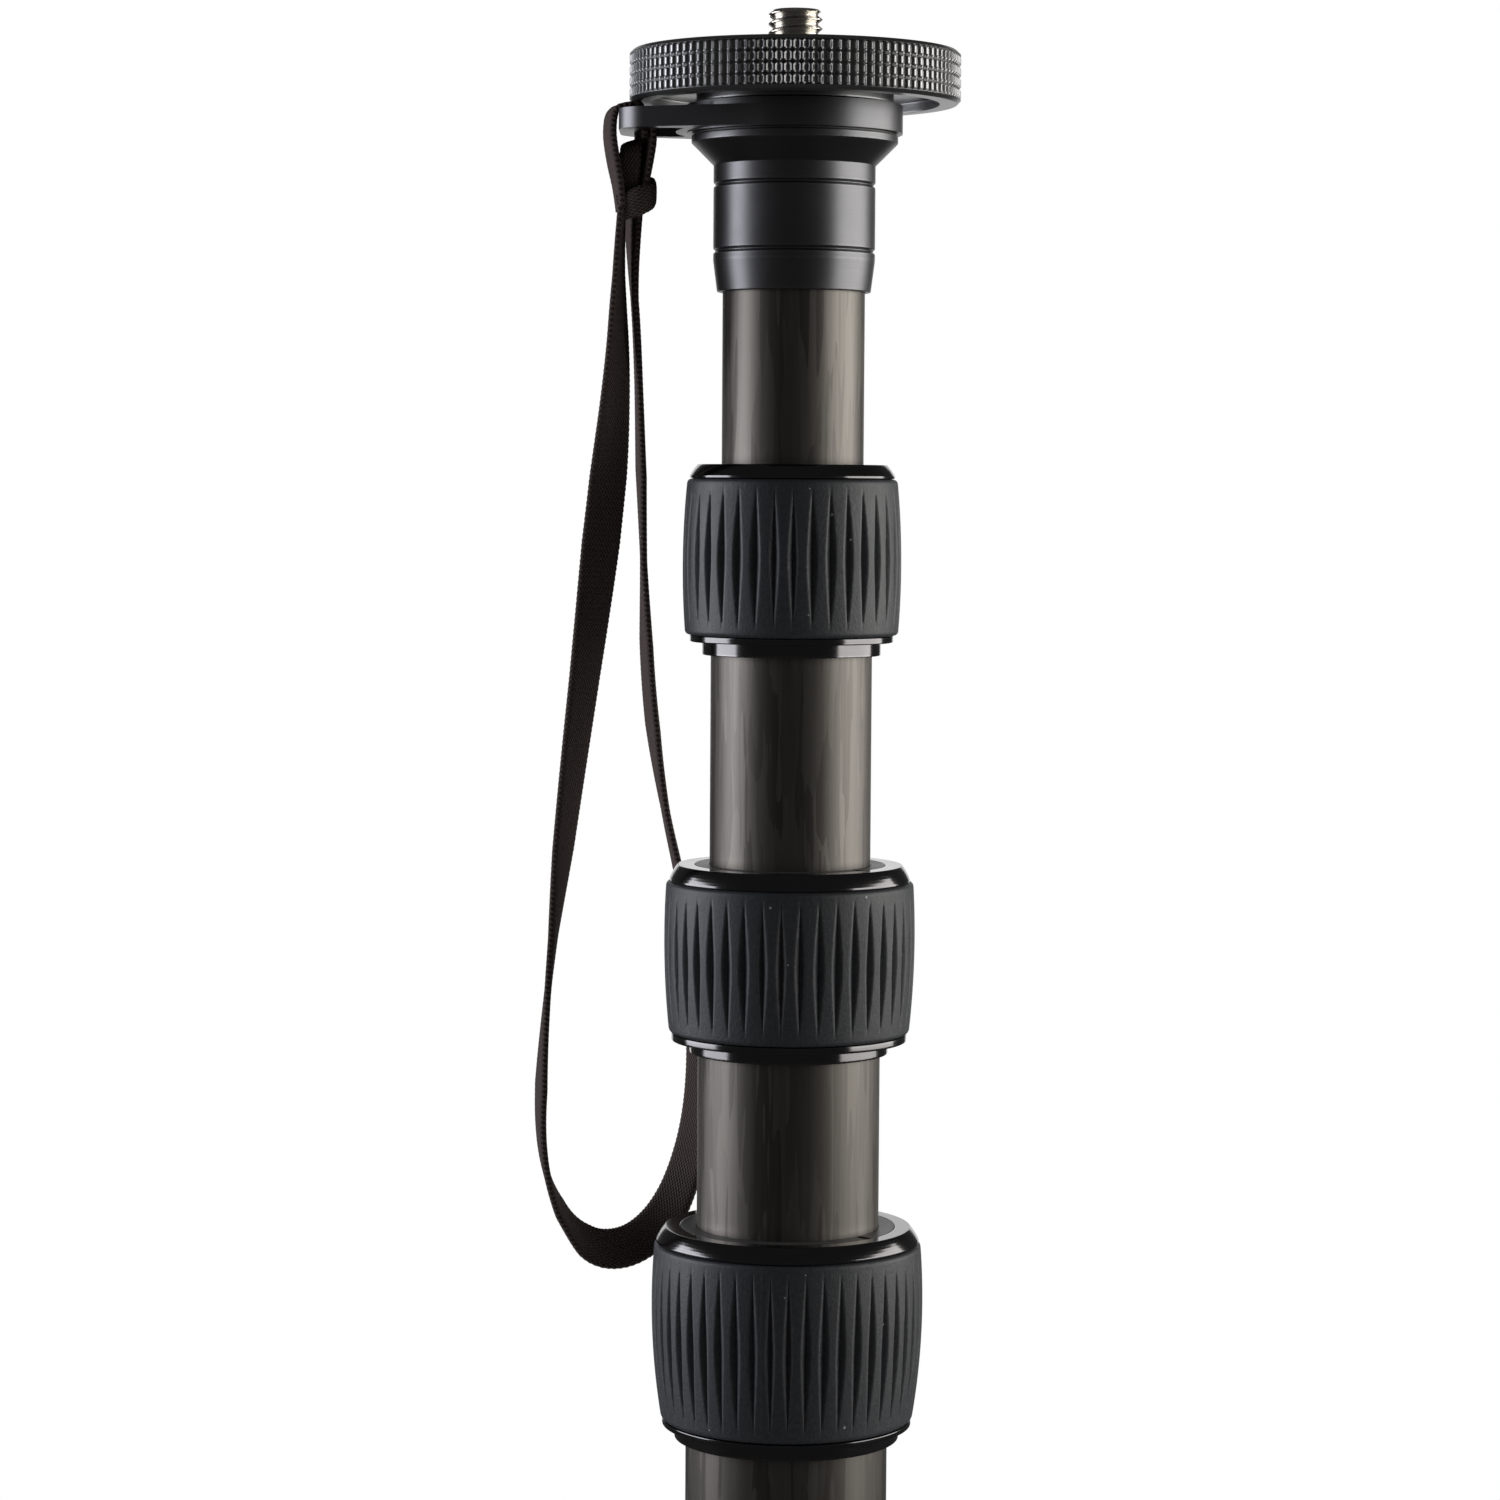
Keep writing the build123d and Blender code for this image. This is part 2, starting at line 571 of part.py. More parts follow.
def make_foot():
    """Plug in the lowest tube, the bolt moulded into the foot and the rubber foot."""
    bore = tube_bore(-1) - GLUE_LINE
    outer = TUBE_RADII[-1]
    waist = outer + FOOT_WAIST_LIP
    sole = waist + FOOT_FLARE
    bolt_head = BOLT_RADIUS + BOLT_HEAD_LIP
    bolt_tip = FOOT_HEIGHT + PLUG_BORE_DEPTH - BOLT_TIP_GAP
    plug = turned(
        (BOLT_RADIUS + GLUE_LINE, FOOT_HEIGHT),
        (outer, FOOT_HEIGHT),
        (outer, FOOT_HEIGHT + PLUG_FLANGE_HEIGHT),
        (bore, FOOT_HEIGHT + PLUG_FLANGE_HEIGHT),
        (bore, FOOT_HEIGHT + PLUG_FLANGE_HEIGHT + PLUG_SPIGOT_HEIGHT),
        (0, FOOT_HEIGHT + PLUG_FLANGE_HEIGHT + PLUG_SPIGOT_HEIGHT),
        (0, FOOT_HEIGHT + PLUG_BORE_DEPTH),
        (BOLT_RADIUS + GLUE_LINE, FOOT_HEIGHT + PLUG_BORE_DEPTH),
    )
    head_top = BOLT_HEAD_COVER + BOLT_HEAD_HEIGHT
    bolt = turned(
        (0, BOLT_HEAD_COVER),
        (bolt_head, BOLT_HEAD_COVER),
        (bolt_head, head_top),
        (BOLT_RADIUS, head_top),
        (BOLT_RADIUS, bolt_tip),
        (0, bolt_tip),
    )
    cavity = bolt_head + GLUE_LINE
    foot = turned(
        (0, 0),
        (sole - FOOT_SOLE_CHAMFER, 0),
        (sole, FOOT_SOLE_CHAMFER),
        (sole, FOOT_SOLE_HEIGHT),
        (waist, FOOT_SOLE_HEIGHT + FOOT_FLARE),
        (waist, FOOT_HEIGHT - GLUE_LINE),
        (BOLT_RADIUS + GLUE_LINE, FOOT_HEIGHT - GLUE_LINE),
        (BOLT_RADIUS + GLUE_LINE, head_top + GLUE_LINE),
        (cavity, head_top + GLUE_LINE),
        (cavity, BOLT_HEAD_COVER - GLUE_LINE),
        (0, BOLT_HEAD_COVER - GLUE_LINE),
    )
    foot -= ring(FOOT_TREAD_RADIUS + FOOT_TREAD_WIDTH, FOOT_TREAD_RADIUS, -OVERRUN, FOOT_TREAD_DEPTH)
    return plug, bolt, foot


def make_bight():
    """Two strands side by side, each up through the slot, over the lug's bar and down to the hitch."""
    half = WEBBING_THICKNESS / 2
    inner = half + GLUE_LINE - math.sqrt(SLOT_OUTER_RADIUS**2 - STRANDS_HALF_WIDTH**2)
    outer = -LUG_REACH - half - GLUE_LINE
    over = LUG_TOP + half
    tail = HITCH_TOP + STRAND_TAIL
    left, right = half - HITCH_LEFT, -half - HITCH_RIGHT
    route = FilletPolyline(
        (right, 0, HITCH_TOP),
        (right, 0, tail),
        (inner, 0, LUG_FOOT - STRAND_TAIL),
        (inner, 0, over),
        (outer, 0, over),
        (outer - STRAND_BULGE, 0, LUG_FOOT),
        (left, 0, tail),
        (left, 0, HITCH_TOP),
        radius=STRAND_FOLD_RADIUS,
    )
    strand = webbing(route, Vector(0, 1, 0))
    offset = (WEBBING_WIDTH + STRAND_GAP) / 2
    return [Pos(0, side * offset, 0) * strand for side in (-1, 1)]


def webbing(route, across):
    """Band of webbing along a route, with its width along across where the route starts."""
    plane = Plane(origin=route @ 0, x_dir=across, z_dir=route % 0)
    return sweep(plane * Rectangle(WEBBING_WIDTH, WEBBING_THICKNESS), path=route)


def make_hitch():
    """Hitch under the lug, as one block where the strands cross."""
    width = HITCH_LEFT - HITCH_RIGHT
    block = upright_box(width, 2 * HITCH_HALF_WIDTH, HITCH_HEIGHT, -HITCH_MIDDLE, 0, HITCH_FOOT)
    return chamfer(block.edges().filter_by(Axis.Z), HITCH_CHAMFER)


def make_loop():
    """Hanging loop: straight runs joined by arcs as large as the runs beside each point allow."""
    points = [Vector(*point) for point in LOOP_POINTS]
    lengths = [(after - before).length for before, after in zip(points, points[1:])]
    radii = []
    for index in range(1, len(points) - 1):
        turn = (points[index] - points[index - 1]).get_angle(points[index + 1] - points[index])
        shorter = min(lengths[index - 1], lengths[index])
        radii.append(LOOP_ARC_SHARE * shorter / math.tan(math.radians(turn) / 2))
    route = FilletPolyline(*points, radius=radii)
    loop = webbing(route, Vector(*LOOP_ACROSS))
    section = WEBBING_WIDTH * WEBBING_THICKNESS
    print("loop runs", [round(length, 1) for length in lengths])
    print("loop radii", [round(radius, 1) for radius in radii])
    print("loop length", round(route.length, 1), "volume share", round(loop.volume / route.length / section, 4))
    return Pos(-HITCH_MIDDLE, 0, HITCH_FOOT) * loop


def build():
    """All nodes by name."""
    nodes = {}
    for index in range(len(TUBE_RADII)):
        nodes[f"tube_{index + 1}"] = make_tube(index)
    for index in range(len(LOCKS)):
        number = index + 1
        nodes[f"guide_{number}_front"], nodes[f"guide_{number}_back"] = make_guides(index)
        nodes[f"ferrule_{number}"] = make_ferrule(index)
        nodes[f"collet_{number}"] = make_collet(index)
        nodes[f"lock_nut_{number}"] = make_nut(index)
        nodes[f"lock_grip_{number}"] = make_grip(index)
    nodes["neck"] = make_neck()
    washer_foot = NECK_RIM_TOP
    nodes["swivel_washer"] = ring(
        WASHER_RADIUS, SPIGOT_RADIUS + RUNNING_FIT, washer_foot, washer_foot + WASHER_HEIGHT
    )
    nodes["strap_ring"] = make_ring()
    nodes["camera_plate"] = make_plate()
    nodes["camera_stud"] = make_stud()
    nodes["foot_plug"], nodes["foot_bolt"], nodes["rubber_foot"] = make_foot()
    nodes["strap_bight"] = Compound(children=make_bight())
    nodes["strap_hitch"] = make_hitch()
    nodes["strap_loop"] = make_loop()
    return nodes


os.makedirs("parts", exist_ok=True)
for node_name, shape in build().items():
    export_step(shape, f"parts/{node_name}.step")
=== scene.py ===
"""Looks of the camera monopod: its visible surfaces, finishes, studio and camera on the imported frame."""

from __future__ import annotations

import logging
import math
from dataclasses import dataclass, field
from enum import Enum
from typing import Callable, Sequence

import bmesh
import bpy
import numpy as np
from mathutils import Matrix, Vector


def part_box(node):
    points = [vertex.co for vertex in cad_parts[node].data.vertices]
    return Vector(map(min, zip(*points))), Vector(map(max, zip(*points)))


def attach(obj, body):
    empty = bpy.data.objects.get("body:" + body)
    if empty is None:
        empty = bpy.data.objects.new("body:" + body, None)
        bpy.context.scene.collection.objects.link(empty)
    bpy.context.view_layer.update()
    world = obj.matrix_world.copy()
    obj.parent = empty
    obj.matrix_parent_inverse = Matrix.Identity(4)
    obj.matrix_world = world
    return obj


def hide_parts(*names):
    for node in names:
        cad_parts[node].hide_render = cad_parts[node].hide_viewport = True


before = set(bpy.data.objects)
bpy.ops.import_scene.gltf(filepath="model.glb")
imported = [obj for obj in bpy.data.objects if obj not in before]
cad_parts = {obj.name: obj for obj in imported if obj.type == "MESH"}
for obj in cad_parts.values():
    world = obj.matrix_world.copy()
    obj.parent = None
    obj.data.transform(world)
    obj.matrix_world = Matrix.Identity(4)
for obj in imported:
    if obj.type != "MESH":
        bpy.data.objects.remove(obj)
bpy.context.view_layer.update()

LOG = logging.getLogger("monopod")
MM = 0.001
TUBE_RADII = (12.5 * MM, 14.25 * MM, 16.2 * MM, 18.0 * MM)
# Point attribute of rubbed edges; on the grips it also holds painted highlight on the groove lips.
EDGE_WEAR_AND_HIGHLIGHT = "edge_wear_and_highlight"
WEAVE_UV = "weave"
SHORTEST = 1e-12
LEAST_SHARE = 1e-6
NEAR_AXIS = 1e-9
DOUBLES = 1e-7
CAD_DOUBLES = 1e-6
CAD_FLAT_DEGREES = 0.5
LONGEST_CUT_SHARE = 0.4
SUPPORTS = 2
SUPPORT_INSET = 0.3 * MM
SUPPORT_SHARE = 0.3
RUNNING_FIT = 0.05 * MM
SEGMENTS = 144
FINE_SEGMENTS = 192
NOISE_RANGE = (0.3, 0.7)

Array = np.ndarray
Point = tuple[float, float, float]
Colour = tuple[float, float, float]
Outline = Sequence[tuple[float, float]]
Piece = bpy.types.Object
Node = bpy.types.Node
Socket = bpy.types.NodeSocket
Layers = tuple[Socket, ...]


class Facing(Enum):
    """Direction that a panel of light faces."""

    RIGHT = (1, 0, 0)
    LEFT = (-1, 0, 0)
    CAMERA = (0, -1, 0)


def span_of(node: str) -> tuple[float, float]:
    """Lowest and highest height of a node at rest."""
    low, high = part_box(node)
    return float(low[2]), float(high[2])


def unit(vectors: Array) -> Array:
    """Vectors divided by their lengths, along the last axis."""
    return vectors / np.maximum(np.linalg.norm(vectors, axis=-1, keepdims=True), SHORTEST)


def rounded(corners: Outline, radius: float, arc: int = 5) -> tuple[Array, Array]:
    """Closed outline whose corners are small arcs.

    With u and v the unit directions from a corner P to the corners before and after it, the arc starts and
    ends at a distance from P equal to the radius over the tangent of half the angle between u and v, but at
    most 0.4 of either run. Between A and C, those two points, it is (1-s)^2 A + 2 s (1-s) P + s^2 C. Each
    straight run gets two more points close to its ends, which keep the shading flat between them.

    Args:
        corners: Radius and height of each corner, going up on the outside.
        radius: Radius of the arcs. Corners on the axis stay sharp.
        arc: Number of points on each arc.

    Returns:
        The outline's points, and for each 1 on an outward arc and 0 elsewhere.
    """
    point = np.asarray(corners, float)
    back, ahead = np.roll(point, 1, axis=0) - point, np.roll(point, -1, axis=0) - point
    shorter = np.minimum(np.linalg.norm(back, axis=1), np.linalg.norm(ahead, axis=1))
    u, v = unit(back), unit(ahead)
    half = np.arccos(np.clip((u * v).sum(axis=1), -1, 1)) / 2
    cut = np.minimum(radius / np.tan(half), LONGEST_CUT_SHARE * shorter)
    cut = np.where(point[:, 0] < NEAR_AXIS, 0, cut)[:, None]
    start, end = point + u * cut, point + v * cut
    s = np.linspace(0, 1, arc)[None, :, None]
    arcs = (1 - s) ** 2 * start[:, None] + 2 * s * (1 - s) * point[:, None] + s**2 * end[:, None]
    run = np.linalg.norm(np.roll(start, -1, axis=0) - end, axis=1, keepdims=True)
    inset = np.minimum(SUPPORT_INSET, SUPPORT_SHARE * run)
    supports = np.stack([end + v * inset, np.roll(start, -1, axis=0) - v * inset], axis=1)
    convex = (u[:, 0] * v[:, 1] - u[:, 1] * v[:, 0] < 0).astype(float)
    on_arcs, on_runs = np.repeat(convex[:, None], arc, axis=1), np.zeros((len(point), SUPPORTS))
    exposed = np.concatenate([on_arcs, on_runs], axis=1)
    return np.concatenate([arcs, supports], axis=1).reshape(-1, 2), exposed.ravel()


def even_angles(count: int) -> Array:
    """Angles in even steps round a full turn."""
    return np.linspace(0, math.tau, count, endpoint=False)


def grid_quads(columns: int, rows: int, wrap_columns: bool = True) -> Array:
    """Corner numbers of a grid's quads.

    The quad at column j and row i joins the points (j, i), (j+1, i), (j+1, i+1) and (j, i+1), where the
    point (j, i) has the number j times the count of rows plus i. The rows wrap, and so may the columns.
    """
    j, i = np.meshgrid(np.arange(columns - (not wrap_columns)), np.arange(rows), indexing="ij")
    next_j, next_i = (j + 1) % columns, (i + 1) % rows
    corners = [j * rows + i, next_j * rows + i, next_j * rows + next_i, j * rows + next_i]
    return np.stack(corners, axis=-1).reshape(-1, 4)


def merge_points(mesh: bpy.types.Mesh, distance: float, flat_degrees: float = 0.0) -> None:
    """Merges a mesh's doubles, and its faces that turn by less than the angle."""
    work = bmesh.new()
    work.from_mesh(mesh)
    bmesh.ops.remove_doubles(work, verts=work.verts, dist=distance)
    if flat_degrees:
        flat = math.radians(flat_degrees)
        bmesh.ops.dissolve_limit(work, angle_limit=flat, verts=work.verts, edges=work.edges)
    work.to_mesh(mesh)
    work.free()


def add_object(name: str, data: bpy.types.ID) -> bpy.types.Object:
    """New object of a mesh, a light or a camera, linked to the scene."""
    made = bpy.data.objects.new(name, data)
    bpy.context.scene.collection.objects.link(made)
    return made


def add_smooth(name: str, mesh: bpy.types.Mesh, sharp_degrees: float) -> Piece:
    """New object of a mesh that is shaded smooth up to an angle."""
    mesh.polygons.foreach_set("use_smooth", np.ones(len(mesh.polygons), dtype=bool))
    mesh.set_sharp_from_angle(angle=math.radians(sharp_degrees))
    return add_object(name, mesh)


def make_piece(
    name: str, points: Array, faces: list[list[int]], wear: Array | None = None, uv: Array | None = None,
    sharp_degrees: float = 35.0,
) -> Piece:
    """Object at the origin from points and faces, with doubles merged and smooth shading.

    Args:
        name: Name of the object and its mesh.
        points: Points, three numbers each.
        faces: Corner numbers of each face, anticlockwise from outside.
        wear: How far each point is rubbed, from 0 to 1; on the grips this also marks painted highlight on the
            groove lips.
        uv: Pattern coordinates of each point.
        sharp_degrees: Edges that turn by more than this are shaded sharp.

    Returns:
        The new object.
    """
    mesh = bpy.data.meshes.new(name)
    mesh.from_pydata(points.reshape(-1, 3).tolist(), [], faces)
    if wear is not None:
        mesh.attributes.new(EDGE_WEAR_AND_HIGHLIGHT, "FLOAT", "POINT").data.foreach_set("value", wear.ravel())
    if uv is not None:
        corner = np.empty(len(mesh.loops), dtype=np.int32)
        mesh.loops.foreach_get("vertex_index", corner)
        mesh.uv_layers.new(name=WEAVE_UV).data.foreach_set("uv", uv.reshape(-1, 2)[corner].ravel())
    merge_points(mesh, DOUBLES)
    return add_smooth(name, mesh, sharp_degrees)


def turned(
    name: str, outline: Array, exposed: Array, angles: Array, inset: Array | float = 0.0,
    sharp_degrees: float = 35.0,
) -> Piece:
    """Closed surface of revolution about Z.

    At angle a, an outline point of radius r and height z lies at ((r-d) cos a, (r-d) sin a, z), where d is
    the inset of that angle and point.

    Args:
        name: Name of the piece.
        outline: Radius and height of each point, going up on the outside.
        exposed: How far each point is rubbed, from 0 to 1, one row or a row for each angle; on the grips it
            also marks painted highlight on the groove lips.
        angles: Angles in radians.
        inset: Depth taken off the radius, a row for each angle.
        sharp_degrees: Edges that turn by more than this are shaded sharp.

    Returns:
        The piece.
    """
    radius = np.broadcast_to(outline[:, 0], (len(angles), len(outline))) - inset
    x, y = radius * np.cos(angles)[:, None], radius * np.sin(angles)[:, None]
    z = np.broadcast_to(outline[:, 1], radius.shape)
    wear = np.broadcast_to(exposed, radius.shape)
    faces = grid_quads(len(angles), len(outline)).tolist()
    return make_piece(name, np.stack([x, y, z], axis=-1), faces, wear, sharp_degrees=sharp_degrees)


def lathe(name: str, corners: Outline, radius: float, segments: int = SEGMENTS, rubbed: float = 1.0) -> Piece:
    """Turned piece with even segments and rounded corners, rubbed by one amount on its outward edges."""
    outline, exposed = rounded(corners, radius)
    return turned(name, outline, rubbed * exposed, even_angles(segments))


def refined_copy(node: str, width: float, segments: int = 2, turn_degrees: float = 30.0) -> Piece:
    """Smooth copy of a CAD node, whose edges are bevelled where they turn by more than the angle.

    Args:
        node: The CAD node.
        width: Width of the bevels.
        segments: Number of faces across each bevel.
        turn_degrees: The angle.

    Returns:
        The copy.
    """
    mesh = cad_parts[node].data.copy()
    merge_points(mesh, CAD_DOUBLES, CAD_FLAT_DEGREES)
    mesh.materials.clear()
    piece = add_smooth(node + "_skin", mesh, turn_degrees)
    bevel = piece.modifiers.new("rounded edges", "BEVEL")
    bevel.width = width
    bevel.segments = segments
    bevel.limit_method = "ANGLE"
    bevel.angle_limit = math.radians(turn_degrees)
    bevel.harden_normals = True
    return piece


def curve_line(points: Sequence[Point], resolution: int = 24) -> Array:
    """Points along the smooth line of a NURBS spline, whose control points are given in millimetres."""
    curve = bpy.data.curves.new("line", "CURVE")
    curve.dimensions = "3D"
    curve.resolution_u = resolution
    spline = curve.splines.new("NURBS")
    spline.points.add(len(points) - 1)
    controls = np.c_[np.asarray(points, float) * MM, np.ones(len(points))]
    spline.points.foreach_set("co", controls.ravel())
    spline.order_u = 3
    spline.use_endpoint_u = True
    holder = bpy.data.objects.new("line", curve)
    mesh = bpy.data.meshes.new_from_object(holder)
    line = np.empty(3 * len(mesh.vertices))
    mesh.vertices.foreach_get("co", line)
    bpy.data.meshes.remove(mesh)
    bpy.data.objects.remove(holder)
    bpy.data.curves.remove(curve)
    return line.reshape(-1, 3)


@dataclass
class Band:
    """A length of flat woven webbing that follows a smooth line, given in millimetres.

    At distance s along the line, with t the line's direction, w the direction of its width made square to
    t, and n the cross product of t and w, a point of the section (a, b) lies at line(s) + a w + b n. The
    section is a flat lens: b is half the thickness times the n-th root of 1 - x^n, with x from -1 to 1
    across the width and n the fullness. Ribs across the width raise b by a cosine of s, and draw the edges
    in and out. The direction w follows from a turn and a dip in degrees, keyed by the share of the length:
    it is (sin turn cos dip, -cos turn cos dip, -sin dip).
    """

    name: str
    route: Sequence[Point]
    turns: Sequence[tuple[float, float, float]]
    width: float = 7.6 * MM
    thickness: float = 1.3 * MM
    rib_pitch: float = 0.95 * MM
    rib_height: float = 0.07 * MM
    scallop: float = 0.11 * MM
    steps_per_rib: int = 4
    width_samples: int = 9
    fullness: float = 6.0
    line: Array = field(init=False, repr=False)

    def build(self) -> Piece:
        """The band as a closed mesh with the weave's UV map."""
        smooth = curve_line(self.route)
        known = np.r_[0, np.cumsum(np.linalg.norm(np.diff(smooth, axis=0), axis=1))]
        length = known[-1]
        count = int(length / self.rib_pitch * self.steps_per_rib)
        distance = np.linspace(0, length, count)
        self.line = np.stack([np.interp(distance, known, column) for column in smooth.T], axis=-1)
        share, turn, dip = np.asarray(self.turns, float).T
        turn = np.radians(np.interp(distance / length, share, turn))
        dip = np.radians(np.interp(distance / length, share, dip))
        wish = np.stack([np.sin(turn) * np.cos(dip), -np.cos(turn) * np.cos(dip), -np.sin(dip)], axis=-1)
        tangent = unit(np.gradient(self.line, axis=0))
        w = unit(wish - (wish * tangent).sum(axis=1, keepdims=True) * tangent)
        n = np.cross(tangent, w)
        x = np.cos(np.linspace(0, math.pi, self.width_samples))
        x = np.r_[x, -x[1:-1]]
        face = np.r_[np.ones(self.width_samples), -np.ones(self.width_samples - 2)]
        phase = np.cos(math.tau * distance / self.rib_pitch)[:, None]
        lens = (1 - np.abs(x) ** self.fullness) ** (1 / self.fullness)
        half = self.width / 2 + self.scallop * phase / 2
        a = half * x
        b = face * lens * (self.thickness / 2 + self.rib_height * (phase - 1) / 2 * (1 - x**2))
        points = self.line[:, None] + a[..., None] * w[:, None] + b[..., None] * n[:, None]
        around = len(x)
        faces = grid_quads(count, around, wrap_columns=False)[:, ::-1].tolist()
        faces.append(list(range(around))[::-1])
        faces.append(list(range((count - 1) * around, count * around)))
        along, across = distance[:, None] / MM, x * self.width / 2 / MM
        uv = np.stack([np.broadcast_to(along, a.shape), np.broadcast_to(across, a.shape)], axis=-1)
        return make_piece(self.name, points, faces, uv=uv, sharp_degrees=70.0)


class Graph:
    """Short calls that place and link the nodes of one tree."""

    def __init__(self, tree: bpy.types.NodeTree) -> None:
        """Takes over the tree."""
        self.tree = tree

    def add(self, kind: str, inputs: dict | None = None, **settings: object) -> Node:
        """Places a node with its settings, and feeds its inputs, by name or number, values or sockets."""
        node = self.tree.nodes.new(kind)
        for key, value in settings.items():
            setattr(node, key, value)
        for key, value in (inputs or {}).items():
            self.feed(node.inputs[key], value)
        return node

    def feed(self, socket: Socket, value: object) -> None:
        """Links a socket to an input, or sets the input's own value."""
        if isinstance(value, Socket):
            self.tree.links.new(value, socket)
        else:
            socket.default_value = value

    def math(self, operation: str, first: object, second: object = 0.0) -> Socket:
        """Result of one operation on two values."""
        return self.add("ShaderNodeMath", {0: first, 1: second}, operation=operation).outputs[0]

    def plus(self, first: object, second: object) -> Socket:
        """Sum of two values."""
        return self.math("ADD", first, second)

    def times(self, first: object, second: object) -> Socket:
        """Product of two values."""
        return self.math("MULTIPLY", first, second)

    def stretched(self, vector: Socket, height_share: float) -> Socket:
        """A vector whose height is scaled, which draws a pattern out along the axis."""
        inputs = {"Vector": vector, "Scale": (1.0, 1.0, height_share)}
        return self.add("ShaderNodeMapping", inputs, vector_type="POINT").outputs["Vector"]

    def between(self, value: object, low: float, high: float, to_low: float, to_high: float) -> Socket:
        """A value moved from one range to another and kept inside it."""
        inputs = {0: value, 1: low, 2: high, 3: to_low, 4: to_high}
        return self.add("ShaderNodeMapRange", inputs, clamp=True).outputs[0]

    def blend(self, share: object, first: object, second: object) -> Socket:
        """Colour between two colours, each a socket or three numbers."""
        first, second = ((*value, 1) if isinstance(value, tuple) else value for value in (first, second))
        return self.add("ShaderNodeMix", {0: share, 6: first, 7: second}, data_type="RGBA").outputs[2]

    def noise(self, vector: object, scale: object, detail: float = 2.0, rough: float = 0.5) -> Socket:
        """Value of a noise pattern."""
        inputs = {"Vector": vector, "Scale": scale, "Detail": detail, "Roughness": rough}
        return self.add("ShaderNodeTexNoise", inputs, noise_dimensions="3D").outputs[0]


@dataclass(frozen=True)
class Effect:
    """Mask or height that several finishes share: the names of a node group, its amount and its output.

    The group takes a vector and the amount, and the fill function adds the nodes between them and the output.
    """

    name: str
    amount: str
    output: str
    fill: Callable[[Graph, Socket, Socket], Socket]

    def put(self, graph: Graph, vector: Socket, amount: float) -> Socket:
        """Places the group in a material and returns its output."""
        tree = bpy.data.node_groups.get(self.name) or self.group()
        inputs = {"Vector": vector, self.amount: amount}
        return graph.add("ShaderNodeGroup", inputs, node_tree=tree).outputs[0]

    def group(self) -> bpy.types.NodeTree:
        """The new group."""
        tree = bpy.data.node_groups.new(self.name, "ShaderNodeTree")
        tree.interface.new_socket(name="Vector", in_out="INPUT", socket_type="NodeSocketVector")
        for name, way in ((self.amount, "INPUT"), (self.output, "OUTPUT")):
            tree.interface.new_socket(name=name, in_out=way, socket_type="NodeSocketFloat")
        inside = Graph(tree)
        source = inside.add("NodeGroupInput").outputs
        result = self.fill(inside, source["Vector"], source[self.amount])
        inside.add("NodeGroupOutput", {self.output: result})
        return tree


def grain_height(inside: Graph, vector: Socket, scale: Socket) -> Socket:
    """Height of a fine grain: two noises, the second four times as fine and half as high."""
    fine = inside.noise(vector, inside.times(scale, 4.0), 1.0, 0.5)
    return inside.plus(inside.noise(vector, scale, 2.0, 0.6), inside.times(fine, 0.5))


def handling_mask(inside: Graph, vector: Socket, scale: Socket) -> Socket:
    """Mask of faint smudges: a coarse noise times one seven times as fine, both sharpened."""
    coarse = inside.between(inside.noise(vector, scale, 3.0), 0.4, 0.65, 0, 1)
    fine = inside.noise(vector, inside.times(scale, 7.0), 4.0, 0.7)
    return inside.times(coarse, inside.between(fine, 0.35, 0.7, 0.3, 1))


def rubbed_and_highlight_mask(inside: Graph, vector: Socket, amount: Socket) -> Socket:
    """Mask of rubbed edges, on the grips' groove lips also painted highlight: the mesh's own attribute,
    broken up by noise.
    """
    wear = inside.add("ShaderNodeAttribute", attribute_name=EDGE_WEAR_AND_HIGHLIGHT).outputs["Fac"]
    patches = inside.between(inside.noise(vector, 700.0, 3.0, 0.6), 0.35, 0.65, 0.25, 1)
    return inside.times(inside.times(wear, patches), amount)


def speck_mask(inside: Graph, vector: Socket, scale: Socket) -> Socket:
    """Mask of small specks of dust: the middles of about a third of the cells of a Voronoi pattern."""
    cells = inside.add("ShaderNodeTexVoronoi", {"Vector": vector, "Scale": scale}).outputs
    chance = inside.add("ShaderNodeSeparateColor", {0: cells["Color"]}).outputs[0]
    return inside.math("LESS_THAN", cells["Distance"], inside.between(chance, 0.6, 1.0, 0.0, 0.08))


GRAIN = Effect("fine grain", "Scale", "Height", grain_height)
HANDLING = Effect("handling marks", "Scale", "Mask", handling_mask)
# Rubbed edges, which on the grips' groove lips are also painted highlight.
RUBBED_AND_HIGHLIGHT = Effect("rubbed edges", "Amount", "Mask", rubbed_and_highlight_mask)
SPECKS = Effect("dust specks", "Scale", "Mask", speck_mask)


